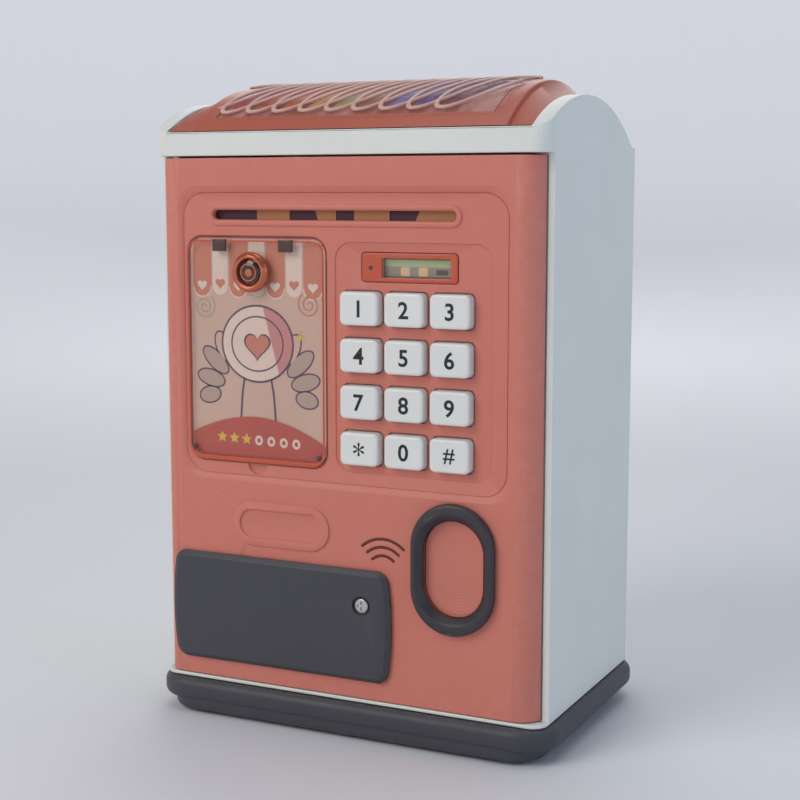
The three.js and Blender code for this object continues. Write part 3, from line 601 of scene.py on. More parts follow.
def is_rim(edge):
    """True where two faces meet at a corner sharper than 60 degrees."""
    return len(edge.link_faces) == 2 and edge.calc_face_angle(0) > math.radians(60)


# ---- case ----
ARCH_Y, ARCH_Z, ARCH_RADIUS, LEDGE = -6.5, 125, 61.7, 173
WALL = 2.3
HINGE = (-57, -35.5)  # x and y of the door's pivot
HINGE_SOCKET = 1.55
HINGE_RELIEF = 5
BAND_TOP, BAND_LOW, BAND_REAR = 177, 170, -33.5
ROOF_EDGE = 57.6


def make_case():
    half, front, back = 63, -39.5, 39.5
    case = plate("case", (-half, half), (front, back), (11, 205), 5, 8, "Z")
    arch = rod("arch", "X", (ARCH_Y, ARCH_Z), ARCH_RADIUS, -half - 2, half + 2, 160)
    weld(arch, block("lower", (-half - 1.5, half + 1.5), (front - 2, back + 2), (10, LEDGE)))
    keep_inside(case, arch)
    relief = rod("hinge_relief", "Z", HINGE, HINGE_RELIEF, 12.1, BAND_LOW, 40)
    keep_inside(relief, block("limit", (-70, -40), (-34.4, -20), (0, 200)))
    tools = [
        relief,
        plate("inside", (-half + WALL, half - WALL), (BAND_REAR, back - WALL), (13, BAND_LOW), 2.5, 4, "Z"),
        block("roof_well", (-ROOF_EDGE - 0.3, ROOF_EDGE + 0.3), (BAND_REAR, back - WALL), (169, 210)),
        block("over_band", (-ROOF_EDGE - 0.3, ROOF_EDGE + 0.3), (-60, BAND_REAR + 1), (BAND_TOP, 210)),
        block("doorway", (-70, 70), (-60, -34.1), (12.1, BAND_LOW)),
        block("mouth", (-half + WALL, half - WALL), (-35, BAND_REAR + 0.1), (12.1, BAND_LOW)),
        rod("upper_socket", "Z", HINGE, HINGE_SOCKET, BAND_LOW - 1, BAND_LOW + 4, 24),
        rod("lower_socket", "Z", HINGE, HINGE_SOCKET, 10, 14, 24),
    ]
    carve(case, *tools)
    soften(case, 0.4, 3)
    show(case, "cabinet", WHITE, "white_plastic", "case_shell")


# ---- roof ----
ROOF_Y, ROOF_Z, ROOF_RADIUS, ROOF_END = 0, 133.7, 57.9, 50
RIM_DROP = 1.1  # fall from the raised middle to the sloping end faces
RIM_STEP = 0.6  # how far the roof's low end edges lie under the rims of the white walls
RIM_WIDTH = 0.8  # width of the steep fall
ROOF_WELLS = ((2.2, 48.2), (8.2, 55.4))  # (depth below the raised arch, half length)


def make_roof():
    low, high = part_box("roof_shell")
    y0, y1, foot = low.y / MM, high.y / MM, low.z / MM
    shell = rod("roof", "X", (ROOF_Y, ROOF_Z), ROOF_RADIUS, -ROOF_EDGE, ROOF_EDGE, 240)
    for side in (-1, 1):
        choose(shell, "faces", lambda face: True)
        bpy.ops.mesh.bisect(plane_co=(side * ROOF_END * MM, 0, 0), plane_no=(1, 0, 0))
        done()
        choose(shell, "faces", lambda face: True)
        bpy.ops.mesh.bisect(plane_co=(side * (ROOF_END + RIM_WIDTH) * MM, 0, 0), plane_no=(1, 0, 0))
        done()
        choose(shell, "verts", lambda v: v.co.x * side > (ROOF_END + 0.7) * MM)
        scale = (ROOF_RADIUS - RIM_DROP) / ROOF_RADIUS
        centre = (side * ROOF_EDGE * MM, ROOF_Y * MM, ROOF_Z * MM)
        bpy.ops.transform.resize(value=(1, scale, scale), center_override=centre)
        done()
        choose(shell, "verts", lambda v: v.co.x * side > (ROOF_EDGE - 0.1) * MM)
        scale = (ARCH_RADIUS - RIM_STEP) / (ROOF_RADIUS - RIM_DROP)
        bpy.ops.transform.resize(value=(1, scale, scale), center_override=centre)
        bpy.ops.transform.translate(value=(0, (ARCH_Y - ROOF_Y) * MM, (ARCH_Z - ROOF_Z) * MM))
        done()
    least = (LEDGE - RIM_STEP) * MM
    for corner in shell.data.vertices:
        if abs(corner.co.x) > (ROOF_EDGE - 0.1) * MM and corner.co.y > 0 and 150 * MM < corner.co.z < least:
            corner.co.z = least

    def on_slope(face):
        return abs(face.calc_center_median().x) > ROOF_END * MM and abs(face.normal.x) < 0.99

    def on_rim(edge):
        return abs(abs(middle_of(edge).x) - ROOF_END * MM) < 0.01 * MM and not runs_along(edge, "X")

    choose(shell, "faces", on_slope)
    bpy.ops.mesh.quads_convert_to_tris()
    done()
    bevel(shell, on_rim, 0.5, 3)
    keep_inside(shell, block("limit", (-70, 70), (y0, y1), (foot, 220)))
    wells = []
    for inset, end in ROOF_WELLS:
        well = rod("well", "X", (ROOF_Y, ROOF_Z), ROOF_RADIUS - inset, -end, end, 120)
        wells.append(keep_inside(well, block("limit", (-60, 60), (y0 + inset, y1 - 0.6 * inset), (150, 220))))
    tools = [
        *wells,
        block("lens_hole", (-44.8, 44.8), (-32.9, 31.9), (160, 220)),
        block("over_band", (-70, 70), (-60, BAND_REAR + 0.3), (150, BAND_TOP + 0.3)),
    ]
    carve(shell, *tools)
    mend(shell)
    show(shell, "cabinet", ROOF_RED, "coral_plastic", "roof_shell")


# ---- door ----
FACE = {"x": (-52.9, 51.5), "z": (63.3, 146.9), "radius": 7}
PICTURE = {"x": (-52, -4.6), "z": (66.9, 134.4), "radius": 5}
KEYPAD_X, KEYPAD_Z = (-1.8, 46.8), (66.9, 133)
LCD_X, LCD_Z, LCD_VIEW = (6.5, 36.6), (121.8, 130.4), (123.2, 128.6)
BADGE_X, BADGE_Z = -20, 49
SIGNAL_X, SIGNAL_Z, SIGNAL_RADII, SIGNAL_HALF_ANGLE = 13.7, 38.4, (9.9, 7.5, 5), 0.73
SCREW_X, SCREW_Z = 7.7, 28.4
FINGER_X, FINGER_Z = 36, 41.8
SLOT_X, SLOT_Z, SLOT_WIDTH, SLOT_HEIGHT, SLOT_LIP = -3.3, 140.5, 78.5, 2.8, 1.7


def lifted_range(pair):
    return tuple(up(value) for value in pair)


GROOVE_HALF, GROOVE_DEPTH = 0.42, 0.5  # the signal arcs: half their width, and their depth
# Brown tongues in the note slot: left edge, right edge and sideways lean.
SLOT_TONGUES = [(-28.6, -17.6, 0), (-8.2, -2.4, -1.2), (3.4, 14.6, 0), (22.6, 35.6, 1.8)]


def signal_arc(name, radius, half_width, y0, y1):
    """An arc of even width round the signal's centre, crest up, with round ends."""
    middle, points = (SIGNAL_X, up(SIGNAL_Z)), []
    for side in (1, -1):
        tip = math.pi / 2 - side * SIGNAL_HALF_ANGLE
        for i in range(7):
            turn = tip - side * math.pi * i / 6 if side < 0 else tip - math.pi + math.pi * i / 6
            x = middle[0] + radius * math.cos(tip) + half_width * math.cos(turn)
            points.append((x, middle[1] + radius * math.sin(tip) + half_width * math.sin(turn)))
        edge = radius + side * half_width
        for i in range(1, 16):
            turn = math.pi / 2 - side * SIGNAL_HALF_ANGLE * (1 - i / 8)
            points.append((middle[0] + edge * math.cos(turn), middle[1] + edge * math.sin(turn)))
    return cut_out(name, [points], y0, y1)


def cut_out(name, outlines, y0, y1):
    """A flat piece between y0 and y1 with closed outlines in (x, z), any inner one left open."""
    curve = bpy.data.curves.new(name, "CURVE")
    curve.dimensions = "2D"
    curve.fill_mode = "BOTH"
    curve.extrude = (y1 - y0) / 2
    for outline in outlines:
        spline = curve.splines.new("POLY")
        spline.points.add(len(outline) - 1)
        for point, (x, z) in zip(spline.points, outline):
            point.co = (x, z, 0, 1)
        spline.use_cyclic_u = True
    piece = bpy.data.objects.new(name, curve)
    bpy.context.scene.collection.objects.link(piece)
    pick(piece)
    bpy.ops.object.convert(target="MESH")
    piece = bpy.context.object
    stand = Matrix.Translation((0, (y0 + y1) / 2 * MM, 0)) @ Matrix.Rotation(math.pi / 2, 4, "X")
    piece.data.transform(stand @ Matrix.Scale(MM, 4))
    choose(piece, "verts", lambda corner: True)
    bpy.ops.mesh.remove_doubles(threshold=0.002 * MM)
    bpy.ops.mesh.normals_make_consistent(inside=False)
    done()
    return piece


def make_door_skin():
    skin = block("door_skin", (-61, 61), (DOOR_FRONT, DOOR_FRONT + 12), (DOOR_BOTTOM, DOOR_TOP))
    bevel(skin, lambda e: runs_along(e, "Z") and middle_of(e).y < (DOOR_FRONT + 1) * MM, 7.2, 12)
    carve(skin, block("behind", (-70, 70), (DOOR_REAR, 0), (0, 200)))
    carve(skin, block("inside", (-53, 58.6), (PANEL_INNER, 0), (DOOR_BOTTOM + 2.2, DOOR_TOP - 2.2)))
    weld(skin, rod("hinge_bar", "Z", HINGE, 3.6, DOOR_BOTTOM, DOOR_TOP, 40))
    behind_picture = lifted_range((PICTURE["z"][0] - 2, PICTURE["z"][1] + 2))
    weld(skin, block("picture_back", (-53.2, -3), (PANEL_INNER - 0.2, -35.6), behind_picture))
    weld(skin, rod("screw_boss", "Y", (SCREW_X, up(SCREW_Z)), 2.2, PANEL_INNER - 0.2, -29, 24))
    face = plate("face", FACE["x"], (FACE_FLOOR - 1, FACE_FLOOR), lifted_range(FACE["z"]), 7, 10)
    face_mouth = flare(face, FACE_FLOOR - 0.05, 2.0, 0.76)
    carve(skin, face_mouth)
    bead = oval("bead", BADGE_X, up(BADGE_Z), 32.6, 13.2, (DOOR_FRONT - 0.6, DOOR_FRONT + 1))
    carve(bead, oval("bead_floor", BADGE_X, up(BADGE_Z), 28.0, 8.6, (DOOR_FRONT - 3, DOOR_FRONT + 3)))
    lip_size = (SLOT_WIDTH + 2 * SLOT_LIP, SLOT_HEIGHT + 2 * SLOT_LIP)
    lip = oval("lip", SLOT_X, up(SLOT_Z), *lip_size, (FACE_FLOOR - 0.5, PANEL_INNER))
    weld(skin, bead, lip)
    keypad = plate("keypad", KEYPAD_X, (-60, FACE_FLOOR + 0.35), lifted_range(KEYPAD_Z), 5)
    picture_depth = (-60, FACE_FLOOR + 1.5)
    picture = plate("picture", PICTURE["x"], picture_depth, lifted_range(PICTURE["z"]), PICTURE["radius"])
    slot = oval("slot", SLOT_X, up(SLOT_Z), SLOT_WIDTH, SLOT_HEIGHT, (FACE_FLOOR - 0.6, -30), 6)
    slot_mouth = oval("mouth", SLOT_X, up(SLOT_Z), SLOT_WIDTH, SLOT_HEIGHT, (-39, -38), 6)
    flare(slot_mouth, FACE_FLOOR, 0.7, 0.7)
    window = plate("lcd", LCD_X, (-60, FACE_FLOOR + 1.2), lifted_range(LCD_Z), 1.2, 5)
    tools = [
        keypad,
        picture,
        slot_mouth,
        slot,
        rod("finger_notch", "Y", (-28.3, up(PICTURE["z"][0])), 3.2, -60, FACE_FLOOR + 0.9, 32),
        window,
        block("lcd_view", (13, 34.2), (-60, -30), lifted_range(LCD_VIEW)),
        oval("finger_hole", FINGER_X, up(FINGER_Z), 19.6, 29, (-60, -30), 14),
        plate("battery_hole", (-51.8, 3.9), (-60, PANEL_INNER + 0.4), lifted_range((7.4, 36.6)), 2, 4),
        rod("screw_hole", "Y", (SCREW_X, up(SCREW_Z)), 1.3, -60, -31, 20),
        rod("pin_hole", "Z", HINGE, HINGE_SOCKET, 0, DOOR_BOTTOM + 12, 24),
        rod("pin_hole", "Z", HINGE, HINGE_SOCKET, DOOR_TOP - 12, 200, 24),
    ]
    for name in KEY_NAMES:
        low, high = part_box("key_" + name)
        x, z = (low.x + high.x) / 2 / MM, (low.z + high.z) / 2 / MM
        tools.append(plate("key_hole", (x - 6.45, x + 6.45), (-60, -30), (z - 5.15, z + 5.15), 1.6, 4))
    carve(skin, *tools)
    for radius in SIGNAL_RADII:
        carve(skin, signal_arc("groove", radius, GROOVE_HALF, DOOR_FRONT - 1, DOOR_FRONT + GROOVE_DEPTH))
    soften(skin, 0.2, 2)
    show(skin, "door", CORAL, "coral_plastic", "door_front_panel")
    # A dark red-brown fill laid in each signal groove.
    for i, radius in enumerate(SIGNAL_RADII):
        fill_depth = (DOOR_FRONT + 0.16, DOOR_FRONT + GROOVE_DEPTH - 0.01)
        fill = signal_arc(f"signal_arc_{i + 1}", radius, GROOVE_HALF - 0.02, *fill_depth)
        show(fill, "door", ARC_DARK_FILL, "coral_plastic")


def make_slot_seal():
    """Soft brown tongues that close the slot from behind, over a dark sheet of painted shade that shows
    between them.
    """
    behind = PANEL_INNER + 0.05
    depth = (behind + 0.3, behind + 0.6)
    # A dark sheet behind the tongues: painted shade inside the slot.
    shade_sheet = plate("slot_seal_painted_shade", (-43.6, 37), depth, lifted_range((138.2, 143.4)), 0.8, 4)
    show(shade_sheet, "door", SEAL_PAINTED_SHADE, "feed_rubber")
    for i, (x0, x1, lean) in enumerate(SLOT_TONGUES):
        depth, tall = (behind, behind + 0.26), lifted_range((138.4, 143.2))
        tongue = plate(f"slot_tongue_{i + 1}", (x0, x1), depth, tall, 0.5, 3)
        choose(tongue, "verts", lambda v: v.co.z > up(141) * MM and v.co.x < (x0 + x1) / 2 * MM)
        bpy.ops.transform.translate(value=(lean * MM, 0, 0))
        done()
        show(tongue, "door", SEAL_BROWN, "feed_rubber")


# ---- keys ----


def glyph(name, text, x, y, z, height, material, body, slot):
    """A printed character, drawn large and then brought down to size on the front of a piece."""
    clear_selection()
    bpy.ops.object.text_add(location=(0, 0, 0))
    letter = bpy.context.object
    letter.data.body = text
    letter.data.size = height
    letter.data.extrude = 0.03
    letter.data.offset = 0.05 if text in "*#" else 0.13
    letter.data.resolution_u = 5
    bpy.ops.object.convert(target="MESH")
    letter = bpy.context.object
    letter.name = letter.data.name = name
    spots = [corner.co for corner in letter.data.vertices]
    cx = (min(s.x for s in spots) + max(s.x for s in spots)) / 2
    cy = (min(s.y for s in spots) + max(s.y for s in spots)) / 2
    upright = Matrix.Translation(Vector((x, y, z)) * MM) @ Matrix.Rotation(math.pi / 2, 4, "X")
    letter.data.transform(upright @ Matrix.Scale(MM, 4) @ Matrix.Translation((-cx, -cy, 0)))
    return show(letter, body, material, slot)


def make_keys():
    for name, mark in zip(KEY_NAMES, KEY_MARKS):
        low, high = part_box("key_" + name)
        x, z, front = (low.x + high.x) / 2 / MM, (low.z + high.z) / 2 / MM, low.y / MM
        key = plate("cap_" + name, (x - 6.1, x + 6.1), (front, PANEL_INNER + 1), (z - 4.8, z + 4.8), 1.7, 6)
        bevel(key, lambda e: abs(middle_of(e).y - front * MM) < 0.004 * MM and is_rim(e), 0.8, 5)
        choose(key, "faces", lambda face: face.normal.y < -0.99)
        for grow, sink in ((-0.35, 0.0), (-0.8, 0.1)):
            bpy.ops.mesh.extrude_region_move(TRANSFORM_OT_translate={"value": (0, sink * MM, 0)})
            spread_selected(key, grow)
        done()
        depth = (PANEL_INNER + 0.3, PANEL_INNER + 1.3)
        weld(key, block("flange", (x - 6.6, x + 6.6), depth, (z - 5.6, z + 5.6)))
        show(key, f"key_{name}_body", KEY_WHITE, "key_plastic", "key_" + name)
        height = {"*": 8.6, "#": 6.0}.get(mark, 6.6)
        glyph("mark_" + name, mark, x, front + 0.09, z, height, INK, f"key_{name}_body", "key_plastic")


# ---- finger ring and pad ----


def make_finger_parts():
    base = DOOR_FRONT - 0.3
    z = up(FINGER_Z)
    ring = oval("finger_surround", FINGER_X, z, 25.6, 38, (base - 2.1, base), 18)
    bevel(ring, lambda e: abs(middle_of(e).y - (base - 2.1) * MM) < 0.01 * MM, 1.1, 5)
    dish = oval("dish", FINGER_X, z, 18.4, 27.8, (base - 1.9, base + 3), 18)
    flare(dish, base - 0.1, 2.3, 2.4)
    carve(ring, dish)
    soften(ring, 0.25, 2)
    show(ring, "door", RING_DARK, "charcoal_plastic", "finger_ring")
    pad = oval("finger_rest", FINGER_X, z, 18.8, 28.2, (-38.3, PANEL_INNER + 0.5), 18)
    choose(pad, "faces", lambda face: face.normal.y < -0.9)
    for step in (1.2, 2.2, 2.4):
        bpy.ops.mesh.inset(thickness=step * MM)
        bpy.ops.transform.translate(value=(0, 0.32 * MM, 0))
    done()
    weld(pad, oval("pad_flange", FINGER_X, z, 21.6, 31, (PANEL_INNER + 0.3, PANEL_INNER + 1.3), 14))
    soften(pad, 0.3, 2)
    show(pad, "finger_button", PAD_RIDGED, "coral_plastic", "finger_pad")


# ---- battery cover ----


def make_battery_cover():
    low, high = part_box("battery_cover")
    x0, x1, front, rear = low.x / MM, high.x / MM, low.y / MM, high.y / MM
    z0, z1 = low.z / MM, high.z / MM
    lid = block("battery_lid", (x0 + 2.4, x1 - 2.4), (front, rear), (z0, z1))
    for side in (-1, 1):
        choose(lid, "faces", lambda face: face.normal.x * side > 0.9)
        bpy.ops.mesh.subdivide(number_cuts=1)
        done()
        middle = (z0 + z1) / 2 * MM
        choose(lid, "verts", lambda v: abs(v.co.z - middle) < 0.5 * MM and at_end(v, lid, side))
        bpy.ops.transform.translate(value=(side * 2.4 * MM, 0, 0))
        done()
    bow = lambda e: runs_along(e, "Y") and abs(middle_of(e).z - (z0 + z1) / 2 * MM) < 1 * MM
    bevel(lid, bow, 12, 12)

    def at_corner(edge):
        return runs_along(edge, "Y") and min(abs(middle_of(edge).z - z * MM) for z in (z0, z1)) < 0.3 * MM

    bevel(lid, at_corner, 3.2, 7)
    bevel(lid, lambda e: abs(middle_of(e).y - front * MM) < 0.01 * MM and is_rim(e), 1.3, 1)
    sink = rod("sink", "Y", (SCREW_X, up(SCREW_Z)), 2.9, front - 1, front + 1.0)
    carve(lid, sink, rod("hole", "Y", (SCREW_X, up(SCREW_Z)), 1.3, front - 1, rear + 1))
    soften(lid, 0.18, 2)
    show(lid, "door", CHARCOAL, "charcoal_plastic", "battery_cover")

    head = low.y / MM + 0.2
    screw = rod("cover_screw", "Y", (SCREW_X, up(SCREW_Z)), 2.15, head, head + 0.8)
    bevel(screw, lambda e: abs(middle_of(e).y - head * MM) < 0.01 * MM, 0.35, 3)
    weld(screw, rod("shank", "Y", (SCREW_X, up(SCREW_Z)), 0.95, head + 0.6, -33, 20))
    for wide, tall in ((1.35, 0.27), (0.27, 1.35)):
        span = (SCREW_X - wide, SCREW_X + wide)
        carve(screw, block("cross", span, (head - 1, head + 0.5), (up(SCREW_Z) - tall, up(SCREW_Z) + tall)))
    show(screw, "door", STEEL, "steel", "battery_screw")


def at_end(corner, piece, side):
    far = max(v.co.x * side for v in piece.data.vertices)
    return corner.co.x * side > far - 0.01 * MM


# ---- printed picture and its flap ----
CARD_LOW, CARD_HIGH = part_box("picture_card")
CARD_FRONT = CARD_LOW.y / MM
CARD_X = (CARD_LOW.x / MM, CARD_HIGH.x / MM)
CARD_Z = (CARD_LOW.z / MM, CARD_HIGH.z / MM)
CARD_MIDDLE = sum(CARD_X) / 2


def printed(name, outlines, layer, material, body="door"):
    """A layer of print on the card."""
    level = CARD_FRONT - 0.02 - 0.03 * layer
    return show(cut_out(name, outlines, level - 0.012, level + 0.012), body, material, "printed_card")


def ellipse(x, z, a, b, turn=0, count=40, start_at=0.0, sweep=2 * math.pi):
    points = []
    for i in range(count):
        t = start_at + sweep * i / (count if sweep > 6.28 else count - 1)
        dx, dz = a * math.cos(t), b * math.sin(t)
        across = dx * math.cos(turn) - dz * math.sin(turn)
        points.append((x + across, z + dx * math.sin(turn) + dz * math.cos(turn)))
    return points


def heart(x, z, size):
    points = []
    for i in range(36):
        t = 2 * math.pi * i / 36
        wide = 16 * math.sin(t) ** 3
        tall = 13 * math.cos(t) - 5 * math.cos(2 * t) - 2 * math.cos(3 * t) - math.cos(4 * t)
        points.append((x + wide * size / 32, z + tall * size / 32))
    return points


def star(x, z, outer, inner, tips):
    return [
        (
            x + (outer if i % 2 == 0 else inner) * math.sin(math.pi * i / tips),
            z + (outer if i % 2 == 0 else inner) * math.cos(math.pi * i / tips),
        )
        for i in range(2 * tips)
    ]


def ribbon(points, width):
    """A closed outline that follows an open line at a steady width."""
    left, right = [], []
    for i, (x, z) in enumerate(points):
        ahead, behind = points[min(i + 1, len(points) - 1)], points[max(i - 1, 0)]
        way = Vector((ahead[0] - behind[0], ahead[1] - behind[1])).normalized() * width / 2
        left.append((x - way.y, z + way.x))
        right.append((x + way.y, z - way.x))
    return left + right[::-1]


def column(x0, x1, top, low):
    """A strip of the awning: square at the top, round at the foot."""
    radius, middle = (x1 - x0) / 2, (x0 + x1) / 2
    foot = []
    for i in range(17):
        turn = math.pi + math.pi * i / 16
        foot.append((middle + radius * math.cos(turn), low + radius + radius * math.sin(turn)))
    return [(x0, top)] + foot + [(x1, top)]


def card_ink(name, colour, roughness=0.42):
    return moulded(name, colour, roughness, grain=900, depth=0.001, wear=0, dust=0.02, rub=0.05)


def make_picture():
    x0, x1 = CARD_X
    z0, z1 = CARD_Z
    cream = card_ink("print_cream", (0.76, 0.56, 0.46))
    orange = card_ink("print_orange", (0.58, 0.17, 0.09))
    field = card_ink("print_field", (0.62, 0.385, 0.29))
    hill = card_ink("print_red", (0.46, 0.05, 0.022))
    plum = card_ink("print_plum", (0.105, 0.035, 0.075))
    pink = card_ink("print_pink", (0.56, 0.20, 0.18))
    buff = card_ink("print_buff", (0.45, 0.30, 0.235))
    sage = card_ink("print_sage", (0.40, 0.335, 0.245))
    gold = card_ink("print_gold", (0.66, 0.42, 0.06))
    card = plate("card", CARD_X, (CARD_FRONT, CARD_HIGH.y / MM), CARD_Z, 4.2, 8)
    show(card, "door", field, "printed_card", "picture_card")
    edge = 0.9
    width = (x1 - x0 - 2 * edge) / 7
    for i in range(7):
        left = x0 + edge + i * width
        pale = i % 2 == 1
        low = z1 - (16.8 if pale else 17.4)
        shape = column(left + (0.45 if pale else 0), left + width - (0.45 if pale else 0), z1 - edge, low)
        printed(f"awning_{i}", [shape], 2 if pale else 1, cream if pale else orange)
        if not pale:
            printed(f"awning_edge_{i}", [ribbon(shape[1:-1], 0.4)], 2, cream)
        printed(f"awning_heart_{i}", [heart(left + width / 2, low + 3.5, 3.3)], 4, orange if pale else cream)
    x, z = CARD_MIDDLE, z0 + 34
    for side in (-1, 1):
        for i, (turn, long) in enumerate(((1.15, 8.2), (0.72, 9.2), (0.25, 8.2), (-0.2, 6.4))):
            out = (10.2 + 1.2 * i, -4 - 3.4 * i)
            cx = x + side * (out[0] + long * 0.45 * math.cos(turn))
            cz = z + out[1] + long * 0.5 * math.sin(turn)
            tilt = turn if side > 0 else math.pi - turn
            printed(f"leaf_line_{side}_{i}", [ellipse(cx, cz, long * 0.62, 2.75, tilt)], 1, plum).name = (
                f"leaf_line_{'right' if side > 0 else 'left'}_{i}"
            )
            ink = field if i < 1 else buff
            printed("leaf", [ellipse(cx, cz, long * 0.62 - 0.5, 2.25, tilt)], 2, ink).name = (
                f"leaf_{'right' if side > 0 else 'left'}_{i}"
            )
    printed("stem_line", [ribbon([(x - 6, z - 22), (x - 5.4, z - 14), (x - 4, z - 6)], 0.6)], 3, plum)
    printed("stem_line_right", [ribbon([(x + 6, z - 22), (x + 5.4, z - 14), (x + 4, z - 6)], 0.6)], 3, plum)
    printed("coin_line", [ellipse(x, z + 1, 12.4, 11.6)], 3, plum)
    printed("coin_face", [ellipse(x, z + 1, 11.8, 11.0)], 4, cream)
    printed("coin_blush", [ellipse(x, z + 1, 11.8, 11.0, 0, 24, -0.9, 2.3)], 5, pink)
    printed("coin_ring", [ellipse(x, z + 1, 9.0, 8.3), ellipse(x, z + 1, 8.55, 7.85)], 6, plum)
    printed("coin_heart_line", [heart(x, z + 0.6, 9.2)], 6, plum)
    printed("coin_heart", [heart(x, z + 0.6, 8.0)], 7, orange)
    swirls = [("left", x0 + 4.7, z0 + 45.5, sage, 1), ("right", x1 - 5.4, z0 + 47, orange, -1)]
    for name, cx, cz, ink, way in swirls:
        line = []
        for i in range(46):
            turn = i / 45 * 2.15 * 2 * math.pi
            reach = 0.35 + 3.4 * i / 45
            line.append((cx + way * reach * math.cos(turn), cz + reach * math.sin(turn)))
        printed("swirl_" + name, [ribbon(line, 0.4)], 2, ink)
    printed("sparkle", [star(x1 - 8.5, z0 + 37.5, 2.0, 0.6, 4)], 5, gold)
    arc = []
    for i in range(33):
        t = i / 32
        wide = x0 + 0.3 + (x1 - x0 - 0.6) * t
        arc.append((wide, z0 + 7.6 + 6.4 * math.sin(math.pi * t) ** 0.9 - 1.7 * t))
    foot = [(x1 - 0.3, z0 + 4.2), (x1 - 1.5, z0 + 1.5), (x1 - 4.2, z0 + 0.3)]
    foot += [(x0 + 4.2, z0 + 0.3), (x0 + 1.5, z0 + 1.5), (x0 + 0.3, z0 + 4.2)]
    printed("hill", [arc + foot], 8, hill)
    for i in range(7):
        cx = x - 12.5 + i * 4.25
        cz = z0 + 6.6 - 0.12 * i
        if i < 3:
            printed(f"hill_mark_{i}", [star(cx, cz, 1.9, 0.85, 5)], 9, gold)
        else:
            printed(f"hill_mark_{i}", [ellipse(cx, cz, 1.35, 1.5), ellipse(cx, cz, 0.6, 0.7)], 9, cream)


def make_flap():
    low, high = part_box("picture_window")
    x, y, z = [(low[i] / MM, high[i] / MM) for i in range(3)]
    pane = plate("flap_pane", x, y, z, 4.5, 8)
    soften(pane, 0.2, 2)
    show(pane, "picture_flap", CLEAR, "clear_plastic", "picture_window")
    frame_ring = plate("flap_frame", x, (y[0] - 0.22, y[0] - 0.02), (z[0], z[1] - 0.7), 4.5, 8)
    inner = [(x[0] + 0.6, x[1] - 0.6), (z[0] + 1.35, z[1] - 1.25)]
    carve(frame_ring, plate("opening", inner[0], (y[0] - 2, y[1] + 2), inner[1], 3.6, 8))
    soften(frame_ring, 0.12, 2)
    # Darker glossy coral: painted shade of the picture recess.
    show(frame_ring, "picture_flap", CORAL_GLOSS_RECESS_SHADE, "coral_plastic")
    for side in ("left", "right"):
        low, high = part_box("window_lug_" + side)
        spans = [(low[i] / MM, high[i] / MM) for i in range(3)]
        lug = block("lug_" + side, *spans)
        bevel(lug, lambda e: middle_of(e).y < low.y + 0.01 * MM, 0.25, 3)
        show(lug, "picture_flap", LUG, "charcoal_plastic", "window_lug_" + side)
    for name, cx, cz in (("left", x[0] + 1.9, z[0] + 3.6), ("right", x[1] - 1.9, z[0] + 2.9)):
        pin = rod("flap_catch_" + name, "Y", (cx, cz), 0.85, y[0] - 0.55, y[0] - 0.03, 20)
        bevel(pin, lambda e: middle_of(e).y < (y[0] - 0.5) * MM, 0.2, 3)
        show(pin, "picture_flap", LUG, "charcoal_plastic")


def turned(name, at, rings, sides=64):
    """A round piece facing the front, drawn out of one disc: rings are (radius, y) from rim to centre."""
    x, z = at
    disc = rod(name, "Y", (x, z), rings[0][0], rings[0][1], rings[0][1] + 0.9, sides)
    choose(disc, "faces", lambda face: face.normal.y < -0.9)
    for radius, y in rings[1:]:
        bpy.ops.mesh.extrude_region_move(TRANSFORM_OT_translate={"value": (0, 0, 0)})
        mesh = bmesh.from_edit_mesh(disc.data)
        chosen = [v for v in mesh.verts if v.select]
        now = max((v.co.x - x * MM) for v in chosen)
        level = chosen[0].co.y
        ratio = radius * MM / now
        bpy.ops.transform.resize(value=(ratio, 1, ratio), center_override=(x * MM, level, z * MM))
        bpy.ops.transform.translate(value=(0, y * MM - level, 0))
    done()
    return disc


def make_eye():
    low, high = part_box("eye_bezel")
    x, z = (low.x + high.x) / 2 / MM, (low.z + high.z) / 2 / MM
    rear, front = high.y / MM, low.y / MM
    radius = (high.x - low.x) / 2 / MM
    rings = [
        (radius, rear - 0.95), (radius - 0.15, rear - 1.25),
        (radius - 0.7, front + 0.25), (radius - 1.15, front),
        (radius - 1.7, front + 0.12), (radius - 2.05, front + 0.7), (3.75, rear - 0.8), (3.6, rear - 0.62),
    ]
    bezel = turned("eye_surround", (x, z), rings)
    show(bezel, "picture_flap", COPPER, "copper_plate", "eye_bezel")
    glass = [
        (3.5, rear - 0.95 - 0.9), (3.2, rear - 2.05), (2.6, rear - 2.3), (1.7, rear - 2.5), (0.8, rear - 2.6),
    ]
    glass = turned("eye_glass", (x, z), [(r, y + 0.55) for r, y in glass], 48)
    show(glass, "picture_flap", EYE_GLASS, "dark_glass", "eye_lens")
    ring = [(2.75, rear - 1.62), (2.65, rear - 1.9), (2.3, rear - 1.95), (2.15, rear - 1.7)]
    halo = turned("eye_halo", (x, z), ring, 48)
    show(halo, "picture_flap", COPPER, "copper_plate")
    spot = [(1.2, rear - 2.1), (1.05, rear - 2.22), (0.5, rear - 2.16)]
    iris = turned("eye_iris", (x + 0.2, z - 0.1), spot, 40)
    show(iris, "picture_flap", COPPER, "copper_plate")


# ---- display ----


